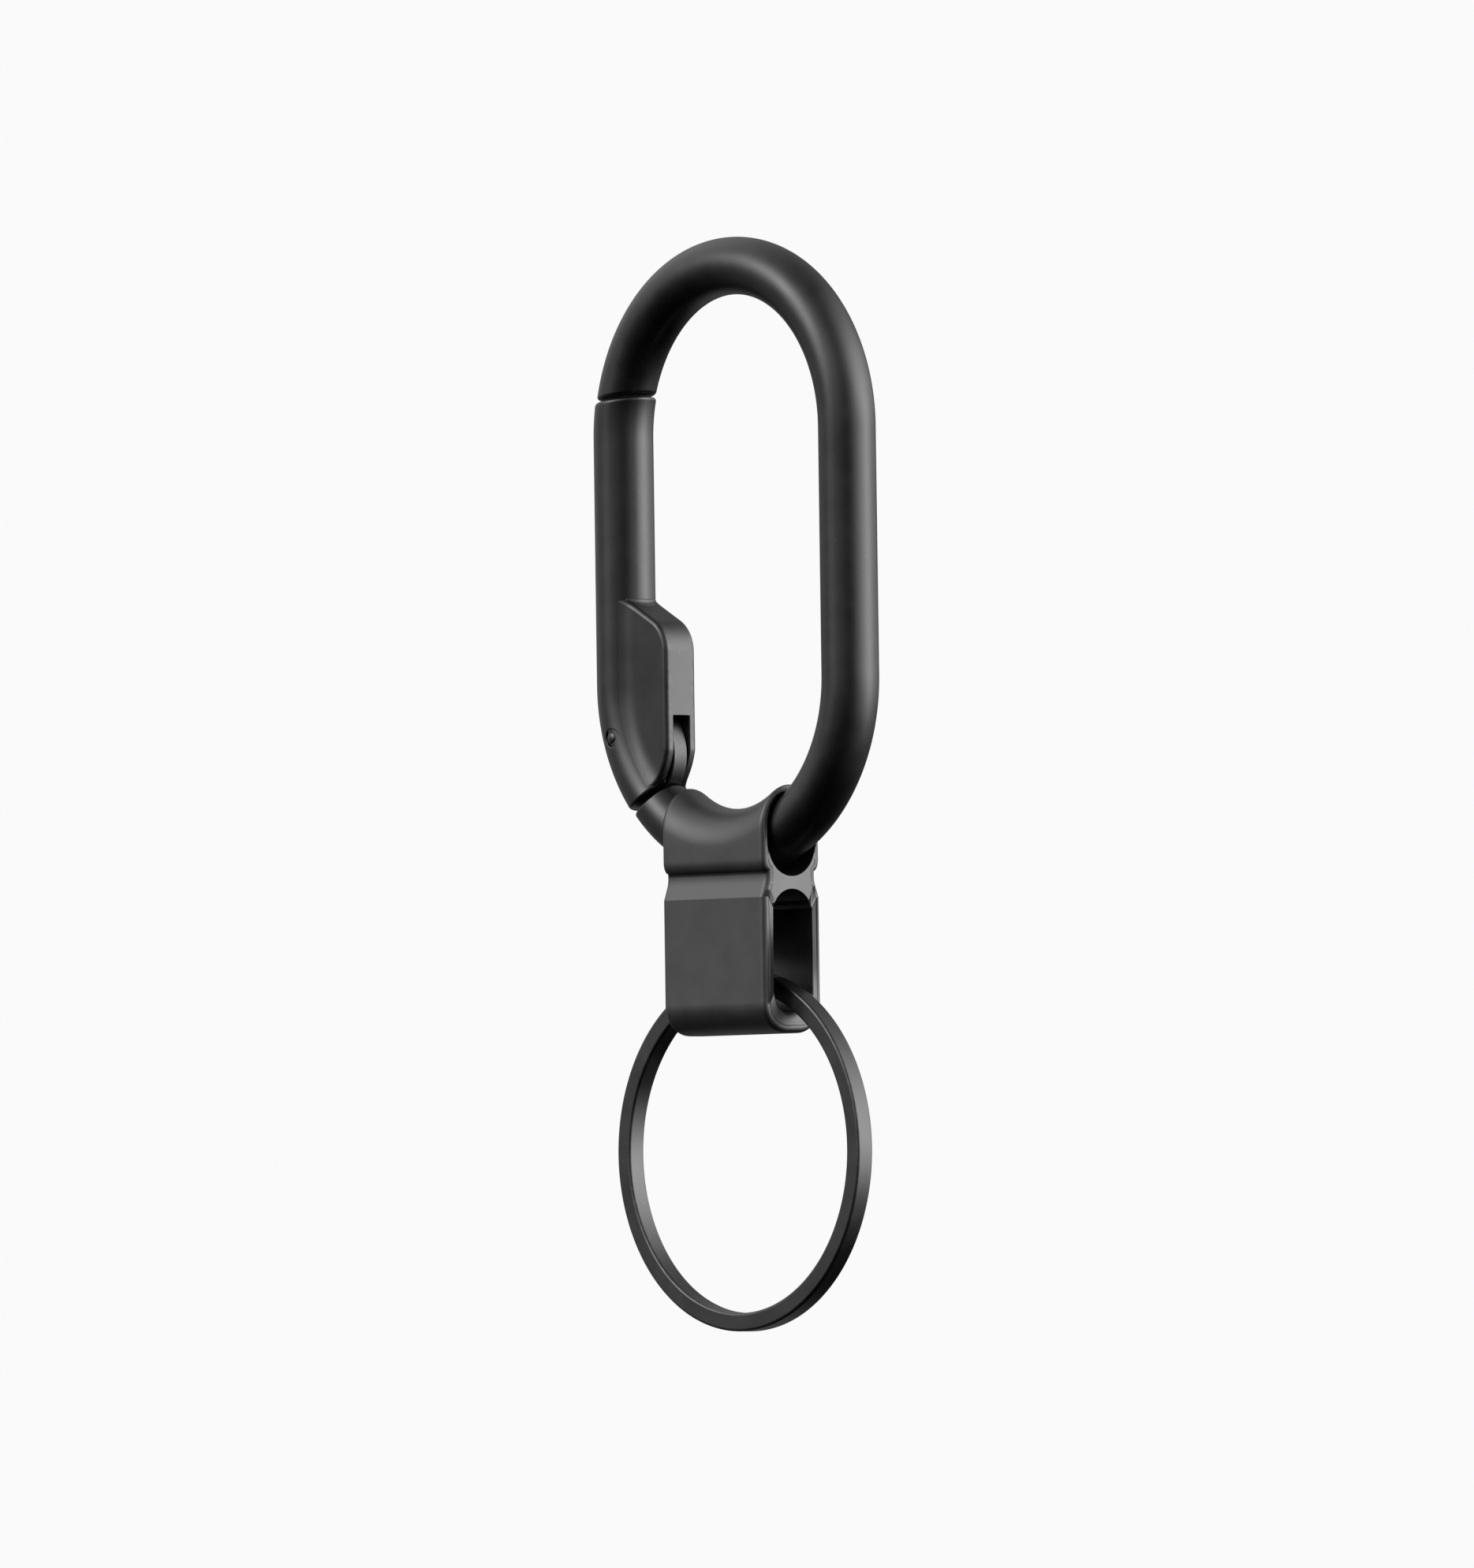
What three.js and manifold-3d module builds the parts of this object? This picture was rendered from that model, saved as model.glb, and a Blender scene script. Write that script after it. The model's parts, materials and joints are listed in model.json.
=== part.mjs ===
// A carabiner keyring: a round-bar carabiner with a sprung gate, a swivel block and a split key ring.
// Millimetres, +Z up. The origin is the point the carabiner hangs on, inside the top of its bow.
// +X points from the gate to the spine, and the carabiner and the ring both lie in the XZ plane at rest.

import * as THREE from 'three';
import { mergeVertices } from 'three/addons/utils/BufferGeometryUtils.js';
import Module from 'manifold-3d';

const wasm = await Module();
wasm.setup();

// ---- Driving dimensions ----

// Carabiner bar, a stadium bent from round stock.
const barDiameter = 4.8;
const bendRadius = 13.9;
const straightLength = 20.6;

// Gate seam on the upper bow: its height over the bow's centre, slope and width.
const seamRise = 3.3;
const seamSlope = THREE.MathUtils.degToRad(6);
const seamGap = 0.2;

// Gate pivot, below the centre of the lower bow on the bar's centreline.
const pinDrop = 4.46;
const pinDiameter = 1.1;
const pinHeadDiameter = 1.4;
const pinHeadDepth = 0.25;
const pinPressGap = 0.05;
const pinRunningGap = 0.09;

// Gate: how far it opens, how far its bar stands proud of the frame's, its round lower end and
// the thumb bulge inside the bow.
const gateOpening = THREE.MathUtils.degToRad(18);
const gateSwell = 0.1;
const gateEndRadius = 6.15;
const shoulderGap = 0.5;
const bulgeThickness = 3.4;
const bulgeReach = 6.05;
const bulgeCornerHeight = 8.9;
const bulgeSlope = THREE.MathUtils.degToRad(28.5);
const bulgeCornerRadius = 3.05;
const bulgeEdgeRadius = 0.33;
const mouthHeight = 1.78;
// The gate's bar runs this share of its end radius past the pin before the round end trims it.
const gateTailShare = 1.3;

// Tongue of the frame inside the gate: a plate with a round cam lobe.
const tongueThickness = 1.5;
const tongueSideGap = 0.125;
const tongueTravelGap = 0.12;
const tongueOuterSkin = 0.9;
const tongueInnerSkin = 0.22;
const lobeRadius = 4.43;
const lobeForward = 1.47;
const lobeDrop = 1.39;

// Spring and plunger in the bulge.
const springForward = 4.165;
const springBoreDiameter = 2.3;
const springBoreHeight = 7.76;
const plungerDiameter = 2.0;
const plungerBodyHeight = 1.2;
const plungerStemDiameter = 1.0;
const plungerStemHeight = 0.7;
const plungerCamGap = 0.1;
const springWire = 0.26;
const springTurns = 5;
const springSideGap = 0.2;
const springEndGap = 0.08;

// Swivel block.
const blockWidth = 12.7;
const blockDepth = 6.4;
const blockEdgeRadius = 0.5;
const headWall = 0.8;
const boreGap = 0.15;
const blockSwing = THREE.MathUtils.degToRad(12);
const grooveDepth = 0.5;
const grooveDrop = 0.35;
const grooveSlope = 1.55;
const cheekInset = 0.25;
const webThickness = 1.1;
const slotWidth = 4.5;
const slotLength = 10.05;
const blockFloor = 1.9;
const blockBottomRadius = 2.5;
// The most of the bow's radius the saddle may reach along the bar to either side.
const saddleReachShare = 0.9;

// Key ring.
const ringOuterRadius = 15.0;
const ringBarHeight = 1.54;
const ringBarDepth = 1.65;
const ringEdge = 0.22;
const ringRestGap = 0.3;
const lapHalfLength = 3.9;
const lapGap = 0.12;

// ---- Places worked out from the dimensions ----

const barRadius = barDiameter / 2;
const upperBowZ = barRadius - bendRadius;
const lowerBowZ = upperBowZ - straightLength;
const pinZ = lowerBowZ - pinDrop;
const pinX = -Math.sqrt(bendRadius ** 2 - pinDrop ** 2);
const seamZ = upperBowZ + seamRise;
const seamX = -Math.sqrt(bendRadius ** 2 - seamRise ** 2);
const gateRadius = barRadius + gateSwell;
const pinAngle = Math.asin(pinDrop / bendRadius);
const seamAngle = Math.asin(seamRise / bendRadius);

const bowBottomZ = lowerBowZ - bendRadius;
const headRadius = barRadius + headWall;
const boreRadius = barRadius + boreGap;
const headBottomZ = bowBottomZ - barRadius;
const slotTopZ = headBottomZ - webThickness - boreGap;
const slotBottomZ = slotTopZ - slotLength;
const blockBottomZ = slotBottomZ - blockFloor;
const ringMeanRadius = ringOuterRadius - ringBarHeight / 2;
const ringInnerRadius = ringOuterRadius - ringBarHeight;
const ringRestX = blockWidth / 2;
const ringDrop = Math.sqrt(ringInnerRadius ** 2 - ringRestX ** 2);
const ringZ = slotBottomZ + ringRestGap - ringDrop;

// ---- Solids ----

function solidOf(geometry) {
  const bare = geometry.index ? geometry.toNonIndexed() : geometry.clone();
  bare.deleteAttribute('normal');
  bare.deleteAttribute('uv');
  const welded = mergeVertices(bare, 1e-5);
  return new wasm.Manifold(new wasm.Mesh({
    numProp: 3,
    vertProperties: new Float32Array(welded.attributes.position.array),
    triVerts: new Uint32Array(welded.index.array),
  }));
}

function meshOf(name, solid, colour, roughness) {
  const { vertProperties, triVerts } = solid.getMesh();
  const geometry = new THREE.BufferGeometry();
  geometry.setAttribute('position', new THREE.BufferAttribute(new Float32Array(vertProperties), 3));
  geometry.setIndex(new THREE.BufferAttribute(new Uint32Array(triVerts), 1));
  geometry.computeVertexNormals();
  const material = new THREE.MeshStandardMaterial({ color: colour, roughness, metalness: 0.9 });
  const mesh = new THREE.Mesh(geometry, material);
  mesh.name = name;
  return mesh;
}

function box(width, depth, height, x, y, z) {
  return solidOf(new THREE.BoxGeometry(width, depth, height).translate(x, y, z));
}

// A cylinder along Y, centred on the XZ plane.
function crossCylinder(radius, length, x, z, sides) {
  return solidOf(new THREE.CylinderGeometry(radius, radius, length, sides).translate(x, 0, z));
}

// A turned piece about an upright axis at x: the profile's points are (radius, height).
function turnedUpright(profile, x, sides) {
  const points = profile.map(([radius, height]) => new THREE.Vector2(radius, height));
  return solidOf(new THREE.LatheGeometry(points, sides).rotateX(Math.PI / 2).translate(x, 0, 0));
}

// An outline in the XZ plane made into a plate of the given thickness about that plane.
function plate(outline, thickness, edge) {
  const geometry = new THREE.ExtrudeGeometry(outline, {
    depth: thickness - 2 * edge,
    curveSegments: 8,
    bevelEnabled: edge > 0,
    bevelThickness: edge,
    bevelSize: edge,
    bevelOffset: -edge,
    bevelSegments: 2,
  });
  return solidOf(geometry.translate(0, 0, edge - thickness / 2).rotateX(Math.PI / 2));
}

// An outline in the YZ plane made into a bar of the given length about X = 0.
function crossBar(outline, length, edge) {
  const geometry = new THREE.ExtrudeGeometry(outline, {
    depth: length - 2 * edge,
    curveSegments: 8,
    bevelEnabled: edge > 0,
    bevelThickness: edge,
    bevelSize: edge,
    bevelOffset: -edge,
    bevelSegments: 2,
  });
  const turn = new THREE.Matrix4().makeBasis(
    new THREE.Vector3(0, 1, 0),
    new THREE.Vector3(0, 0, 1),
    new THREE.Vector3(1, 0, 0),
  );
  return solidOf(geometry.translate(0, 0, edge - length / 2).applyMatrix4(turn));
}

// A stretch of the bar's centreline, by length along it. Length 0 is the gate end of the upper
// bow. It grows over the top, down the spine and round the lower bow, and falls down the gate.
class BowLine extends THREE.Curve {
  constructor(start, end) {
    super();
    this.start = start;
    this.end = end;
  }

  getPoint(t, target = new THREE.Vector3()) {
    const along = this.start + (this.end - this.start) * t;
    const bow = Math.PI * bendRadius;
    if (along < -straightLength) {
      const turn = (along + straightLength) / bendRadius;
      return target.set(-bendRadius * Math.cos(turn), 0, lowerBowZ + bendRadius * Math.sin(turn));
    }
    if (along < 0) return target.set(-bendRadius, 0, upperBowZ + along);
    if (along < bow) {
      const turn = along / bendRadius;
      return target.set(-bendRadius * Math.cos(turn), 0, upperBowZ + bendRadius * Math.sin(turn));
    }
    if (along < bow + straightLength) {
      return target.set(bendRadius, 0, upperBowZ - (along - bow));
    }
    const turn = (along - bow - straightLength) / bendRadius;
    return target.set(bendRadius * Math.cos(turn), 0, lowerBowZ - bendRadius * Math.sin(turn));
  }
}

const bowLength = Math.PI * bendRadius;
const lowerBowStart = bowLength + straightLength;

function roundBar(radius, start, end, steps, sides) {
  const section = new THREE.Shape();
  section.absarc(0, 0, radius, 0, 2 * Math.PI, false);
  return solidOf(new THREE.ExtrudeGeometry(section, {
    steps,
    curveSegments: sides / 2,
    extrudePath: new BowLine(start, end),
  }));
}

// A block that trims a bar end at the seam: side 1 trims the gate, side -1 the nose of the frame.
function seamSide(side) {
  const size = 2 * barDiameter;
  const height = size / 2 - seamGap / 2;
  const geometry = new THREE.BoxGeometry(size, size, size).translate(0, 0, side * height);
  return solidOf(geometry.rotateY(-seamSlope).translate(seamX, 0, seamZ));
}

function turnedAboutPin(solid, angle) {
  const degrees = THREE.MathUtils.radToDeg(angle);
  return solid.translate([-pinX, 0, -pinZ]).rotate([0, degrees, 0]).translate([pinX, 0, pinZ]);
}

// The tongue with its cam lobe, grown by a side gap and a travel gap.
function tongueSolid(sideGap, travelGap) {
  const thickness = tongueThickness + 2 * sideGap;
  const outerRadius = bendRadius + barRadius - tongueOuterSkin + travelGap;
  const innerRadius = bendRadius - barRadius + tongueInnerSkin - travelGap;
  const outerLimit = crossCylinder(outerRadius, thickness, 0, lowerBowZ, 96);
  const innerLimit = crossCylinder(innerRadius, 2 * thickness, 0, lowerBowZ, 96);
  const lobeX = pinX + lobeForward;
  const lobeZ = pinZ - lobeDrop;
  const lobe = crossCylinder(lobeRadius + travelGap, thickness, lobeX, lobeZ, 48);
  const rootReach = gateEndRadius + shoulderGap + barRadius;
  const root = crossCylinder(rootReach, thickness, pinX, pinZ, 36);
  const belowPin = box(4 * rootReach, thickness, rootReach, pinX, 0, pinZ - rootReach / 2);
  const band = root.intersect(belowPin).intersect(outerLimit).subtract(innerLimit);
  return lobe.intersect(outerLimit).add(band);
}

// ---- Carabiner frame ----

function carabinerFrame() {
  const start = bendRadius * seamAngle - barDiameter;
  const end = lowerBowStart + bowLength - bendRadius * pinAngle;
  const bar = roundBar(barRadius, start, end, 64, 20);
  const shoulder = crossCylinder(gateEndRadius + shoulderGap, 2 * barDiameter, pinX, pinZ, 48);
  const hole = crossCylinder(pinDiameter / 2 + pinRunningGap, barDiameter, pinX, pinZ, 24);
  const cut = bar.subtract(seamSide(-1)).subtract(shoulder);
  return cut.add(tongueSolid(0, 0)).subtract(hole);
}

// ---- Gate ----

function bulgeOutline() {
  const outline = new THREE.Shape();
  const tangent = bulgeCornerRadius * Math.tan((Math.PI / 2 - bulgeSlope) / 2);
  const cornerX = bulgeReach - bulgeCornerRadius;
  const cornerZ = bulgeCornerHeight - tangent;
  const endAngle = -Math.asin(Math.sqrt(1 - (bulgeReach / gateEndRadius) ** 2));
  const barAngle = -(Math.PI / 2 - pinAngle - Math.asin(gateEndRadius / (2 * bendRadius)));
  outline.moveTo(0, 0);
  outline.lineTo(0, bulgeCornerHeight + bulgeReach * Math.tan(bulgeSlope));
  outline.absarc(cornerX, cornerZ, bulgeCornerRadius, Math.PI / 2 - bulgeSlope, 0, true);
  outline.absarc(0, 0, gateEndRadius, endAngle, barAngle, true);
  const run = 3 * bulgeEdgeRadius;
  outline.lineTo(
    gateEndRadius * Math.cos(barAngle) + run * Math.sin(barAngle),
    gateEndRadius * Math.sin(barAngle) - run * Math.cos(barAngle),
  );
  outline.closePath();
  return outline;
}

function gate() {
  const barStart = -straightLength - bendRadius * pinAngle - gateTailShare * gateEndRadius;
  const barEnd = bendRadius * seamAngle + barDiameter;
  const bar = roundBar(gateRadius, barStart, barEnd, 26, 20);
  const bulge = plate(bulgeOutline(), bulgeThickness, bulgeEdgeRadius).translate([pinX, 0, pinZ]);
  const reach = 4 * gateEndRadius;
  const below = box(reach, reach, reach, pinX, 0, pinZ - reach / 2);
  const endTrim = below.subtract(crossCylinder(gateEndRadius, 2 * reach, pinX, pinZ, 48));

  const slotWide = tongueThickness + 2 * tongueSideGap;
  const grown = tongueSolid(tongueSideGap, tongueTravelGap);
  let cavity = grown;
  for (const share of [1 / 3, 2 / 3, 1]) {
    cavity = cavity.add(turnedAboutPin(grown, -share * gateOpening));
  }
  const mouthDepth = bulgeReach - lobeForward;
  const mouthX = pinX + lobeForward + mouthDepth;
  const mouthTall = mouthHeight + 2 * gateEndRadius;
  const mouthZ = pinZ + mouthHeight - mouthTall / 2;
  cavity = cavity.add(box(2 * mouthDepth, slotWide, mouthTall, mouthX, 0, mouthZ));
  const boreFoot = lobeRadius - lobeDrop - barRadius / 2;
  const boreTall = springBoreHeight - boreFoot;
  const boreHalf = springBoreDiameter / 2;
  const bore = solidOf(new THREE.CylinderGeometry(boreHalf, boreHalf, boreTall, 20)
    .rotateX(Math.PI / 2)
    .translate(pinX + springForward, 0, pinZ + boreFoot + boreTall / 2));

  const hole = crossCylinder(pinDiameter / 2 + pinPressGap, 2 * barDiameter, pinX, pinZ, 24);
  let solid = bar.subtract(seamSide(1)).add(bulge).subtract(endTrim);
  solid = solid.subtract(cavity).subtract(bore).subtract(hole);
  for (const side of [-1, 1]) {
    solid = solid.subtract(countersink(side));
  }
  return solid;
}

// The cone sunk into the bar round each end of the pin.
function countersink(side) {
  const outer = pinHeadDiameter / 2;
  const inner = pinDiameter / 2;
  const cone = new THREE.CylinderGeometry(2 * outer - inner, inner, 2 * pinHeadDepth, 24);
  const turned = side > 0 ? cone : cone.rotateX(Math.PI);
  return solidOf(turned.translate(pinX, side * gateRadius, pinZ));
}

// ---- Pivot pin ----

function pivotPin() {
  const radius = pinDiameter / 2;
  const straight = gateRadius - pinHeadDepth;
  const dome = pinHeadDepth;
  const profile = [new THREE.Vector2(0, -straight - dome)];
  for (const side of [-1, 1]) {
    for (let i = 0; i <= 4; i += 1) {
      const step = side < 0 ? i : 4 - i;
      const angle = (Math.PI / 2) * (step / 4);
      const height = side * (straight + dome * Math.cos(angle));
      if (step > 0) profile.push(new THREE.Vector2(radius * Math.sin(angle), height));
    }
  }
  profile.push(new THREE.Vector2(0, straight + dome));
  return solidOf(new THREE.LatheGeometry(profile, 24).translate(pinX, 0, pinZ));
}

// ---- Spring and plunger ----

// The plunger's round tip stands on the cam lobe, so its centre's height follows from both radii.
const tipRadius = plungerDiameter / 2;
const tipReach = lobeRadius + tipRadius + plungerCamGap;
const tipZ = pinZ - lobeDrop + Math.sqrt(tipReach ** 2 - (springForward - lobeForward) ** 2);
const springX = pinX + springForward;
const springFootZ = tipZ + plungerBodyHeight + springEndGap;
const springHeadZ = pinZ + springBoreHeight - springEndGap;

function springPlunger() {
  const profile = [];
  for (let i = 0; i <= 6; i += 1) {
    const angle = (Math.PI / 2) * (i / 6);
    profile.push([tipRadius * Math.sin(angle), tipZ - tipRadius * Math.cos(angle)]);
  }
  profile.push([tipRadius, tipZ + plungerBodyHeight]);
  profile.push([plungerStemDiameter / 2, tipZ + plungerBodyHeight]);
  profile.push([plungerStemDiameter / 2, tipZ + plungerBodyHeight + plungerStemHeight]);
  profile.push([0, tipZ + plungerBodyHeight + plungerStemHeight]);
  return turnedUpright(profile, springX, 20);
}

class CoilLine extends THREE.Curve {
  getPoint(t, target = new THREE.Vector3()) {
    const radius = springBoreDiameter / 2 - springSideGap - springWire / 2;
    const turn = 2 * Math.PI * springTurns * t;
    const rise = springHeadZ - springFootZ - springWire;
    return target.set(
      springX + radius * Math.cos(turn),
      radius * Math.sin(turn),
      springFootZ + springWire / 2 + rise * t,
    );
  }
}

function gateSpring() {
  const section = new THREE.Shape();
  section.absarc(0, 0, springWire / 2, 0, 2 * Math.PI, false);
  return solidOf(new THREE.ExtrudeGeometry(section, {
    steps: 14 * springTurns,
    curveSegments: 3,
    extrudePath: new CoilLine(),
  }));
}

// ---- Swivel block ----

// Half of the block's end view, from the bar's axis down to the middle of its floor.
function blockOutline() {
  const half = blockDepth / 2;
  const neck = half - grooveDepth;
  const grooveZ = headBottomZ - grooveDrop;
  const creaseZ = grooveZ - grooveSlope;
  const cheek = half - cheekInset;
  const foot = half - blockBottomRadius;
  const outline = new THREE.Shape();
  outline.moveTo(cheek, bowBottomZ);
  outline.lineTo(cheek, grooveZ + grooveDepth);
  outline.lineTo(neck, grooveZ);
  outline.lineTo(half, creaseZ);
  outline.absarc(foot, blockBottomZ + blockBottomRadius, blockBottomRadius, 0, -Math.PI / 2, true);
  outline.absarc(-foot, blockBottomZ + blockBottomRadius, blockBottomRadius, -Math.PI / 2, -Math.PI, true);
  outline.lineTo(-half, creaseZ);
  outline.lineTo(-neck, grooveZ);
  outline.lineTo(-cheek, grooveZ + grooveDepth);
  outline.lineTo(-cheek, bowBottomZ);
  outline.closePath();
  return outline;
}

function slotOutline() {
  const radius = slotWidth / 2;
  const outline = new THREE.Shape();
  outline.absarc(0, slotTopZ - radius, radius, 0, Math.PI, false);
  outline.absarc(0, slotBottomZ + radius, radius, Math.PI, 2 * Math.PI, false);
  outline.closePath();
  return outline;
}

function lowerBowTube(radius, reach, steps, sides) {
  const middle = lowerBowStart + bowLength / 2;
  const half = bendRadius * Math.asin(reach / bendRadius);
  return roundBar(radius, middle - half, middle + half, steps, sides);
}

function swivelBlock() {
  const reach = Math.min(blockWidth, saddleReachShare * bendRadius);
  const wide = box(blockWidth, 4 * blockDepth, 4 * bendRadius, 0, 0, bowBottomZ);
  const head = lowerBowTube(headRadius, reach, 16, 28).intersect(wide);
  const body = crossBar(blockOutline(), blockWidth, blockEdgeRadius);
  const slot = crossBar(slotOutline(), 2 * blockWidth, 0);
  const bore = solidOf(new THREE.CylinderGeometry(boreRadius, boreRadius, 2 * blockWidth, 24)
    .rotateZ(Math.PI / 2)
    .translate(0, 0, bowBottomZ));
  let solid = head.add(body).subtract(slot).subtract(bore);
  const passage = lowerBowTube(boreRadius, reach, 16, 24).translate([0, 0, -bowBottomZ]);
  for (const share of [-1, 0, 1]) {
    const degrees = share * THREE.MathUtils.radToDeg(blockSwing);
    solid = solid.subtract(passage.rotate([degrees, 0, 0]).translate([0, 0, bowBottomZ]));
  }
  return solid;
}

// ---- Key ring ----

// A single-turn ring. Its ends are lapped side by side where the block's slot hides them.
function keyRing() {
  const inner = ringInnerRadius;
  const outer = ringOuterRadius;
  const half = ringBarDepth / 2;
  const profile = [
    [inner + ringEdge, -half],
    [outer - ringEdge, -half],
    [outer, ringEdge - half],
    [outer, half - ringEdge],
    [outer - ringEdge, half],
    [inner + ringEdge, half],
    [inner, half - ringEdge],
    [inner, ringEdge - half],
    [inner + ringEdge, -half],
  ].map(([radius, height]) => new THREE.Vector2(radius, height));
  const sides = 80;
  const turned = new THREE.LatheGeometry(profile, sides).rotateY(Math.PI / sides);
  let solid = solidOf(turned.translate(0, 0, ringZ));
  const tall = 3 * ringBarHeight;
  const topZ = ringZ + ringMeanRadius;
  solid = solid.subtract(box(2 * lapHalfLength, lapGap, tall, 0, 0, topZ));
  for (const side of [-1, 1]) {
    const x = side * (lapHalfLength - lapGap / 2);
    const y = side * (ringBarDepth - lapGap) / 2;
    solid = solid.subtract(box(lapGap, ringBarDepth, tall, x, y, topZ));
  }
  return solid;
}

// ---- Assembly ----

const keyring = new THREE.Group();
keyring.add(
  meshOf('carabiner_frame', carabinerFrame(), 0x17181a, 0.42),
  meshOf('gate', gate(), 0x17181a, 0.42),
  meshOf('pivot_pin', pivotPin(), 0x1c1d1f, 0.35),
  meshOf('gate_spring', gateSpring(), 0x8d9094, 0.3),
  meshOf('spring_plunger', springPlunger(), 0x7d8084, 0.35),
  meshOf('swivel_block', swivelBlock(), 0x191a1c, 0.45),
  meshOf('key_ring', keyRing(), 0x1b1c1e, 0.4),
);

export default keyring;
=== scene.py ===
"""Carabiner keyring: the finished surfaces, coatings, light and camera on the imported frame.

Lengths are in metres. The keyring hangs from the origin: +Z is up, +X runs from the gate to the
spine, and the carabiner and the ring lie in the XZ plane.
"""

import json
import math

import bmesh
import bpy
import numpy as np
from bpy.props import FloatProperty, FloatVectorProperty, PointerProperty
from mathutils import Matrix, Vector


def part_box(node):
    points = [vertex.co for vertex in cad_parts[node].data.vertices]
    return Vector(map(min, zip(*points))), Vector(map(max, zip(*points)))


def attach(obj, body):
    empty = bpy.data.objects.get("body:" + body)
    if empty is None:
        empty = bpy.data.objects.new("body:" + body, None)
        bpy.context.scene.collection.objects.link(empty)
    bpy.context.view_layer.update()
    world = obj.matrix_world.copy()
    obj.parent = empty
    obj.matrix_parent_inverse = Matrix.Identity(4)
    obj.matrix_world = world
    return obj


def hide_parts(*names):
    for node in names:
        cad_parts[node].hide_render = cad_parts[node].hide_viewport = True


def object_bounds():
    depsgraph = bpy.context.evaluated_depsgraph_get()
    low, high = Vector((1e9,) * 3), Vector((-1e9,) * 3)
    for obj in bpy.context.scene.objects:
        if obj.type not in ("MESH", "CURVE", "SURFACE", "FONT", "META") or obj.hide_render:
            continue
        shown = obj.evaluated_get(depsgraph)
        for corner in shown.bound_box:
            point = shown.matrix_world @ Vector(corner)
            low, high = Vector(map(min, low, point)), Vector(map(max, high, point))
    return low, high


bl_info = {
    "name": "Carabiner Keyring",
    "version": (1, 0, 0),
    "blender": (4, 5, 0),
    "location": "3D View > Sidebar > Keyring",
    "description": "Builds a round-bar carabiner with a sprung gate, swivel block and key ring",
    "category": "Add Mesh",
}

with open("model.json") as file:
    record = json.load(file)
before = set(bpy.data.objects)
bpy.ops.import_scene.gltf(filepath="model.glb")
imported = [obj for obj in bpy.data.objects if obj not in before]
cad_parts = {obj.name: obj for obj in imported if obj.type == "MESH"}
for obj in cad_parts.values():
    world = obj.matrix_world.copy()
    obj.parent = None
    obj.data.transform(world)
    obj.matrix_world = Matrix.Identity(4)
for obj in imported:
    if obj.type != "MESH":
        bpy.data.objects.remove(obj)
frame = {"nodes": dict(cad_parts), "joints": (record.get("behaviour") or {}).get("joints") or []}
CAD_BOUNDS = [list(corner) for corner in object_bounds()]

MM = 0.001
BAR_LOW, BAR_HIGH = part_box("carabiner_frame")
BLOCK_LOW, BLOCK_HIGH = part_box("swivel_block")
RING_LOW, RING_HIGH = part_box("key_ring")
GATE_PIVOT = next(j for j in frame["joints"] if j["name"] == "gate_hinge")["pos_m"]

SEAM_SLOPE = math.radians(6.0)

# How far the flat beside an edge round is held flat, as a share of the round's radius.
FLAT_HOLD = 0.12

# The swivel block's fixed sizes. The groove and the slot start at their drops below the bar's
# underside, the crease is below the groove, and the swing is in degrees to each side.
BORE_GAP = 0.15 * MM
GROOVE_DROP = 0.35 * MM
SLOT_DROP = 1.25 * MM
SLOT_LENGTH = 10.05 * MM
SLOT_RADIUS = 2.25 * MM
SADDLE_WALL = 0.8 * MM
GROOVE_DEPTH = 0.50 * MM
NECK_RISE = 0.60 * MM
NECK_TURN = 1.0 * MM
CREASE_DROP = 1.55 * MM
FLOOR_RADIUS = 2.5 * MM
BLOCK_EDGE = 0.50 * MM
BLOCK_SWING = 12.0

# The camera's turn round the keyring, its height over it and its roll, in degrees.
CAMERA_ANGLES = (48.03, -1.57, -0.80)

# Soft panels round the keyring: degrees to the camera's right from its own direction, degrees up,
# sharpness of the edge and brightness.
SOFT_PANELS = (
    (-76.0, 26.5, 32.0, 5.60),
    (106.0, 18.0, 9.0, 2.30),
    (84.0, 1.0, 30.0, 2.40),
    (139.0, 8.0, 60.0, 0.80),
    (180.0, -37.0, 21.5, 0.30),
    (-135.0, 36.0, 4.0, 1.15),
    (64.5, 21.0, 7.5, 3.30),
    (-38.0, 30.0, 9.85, 0.85),
)


# ---- Sizes and colours ----


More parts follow.
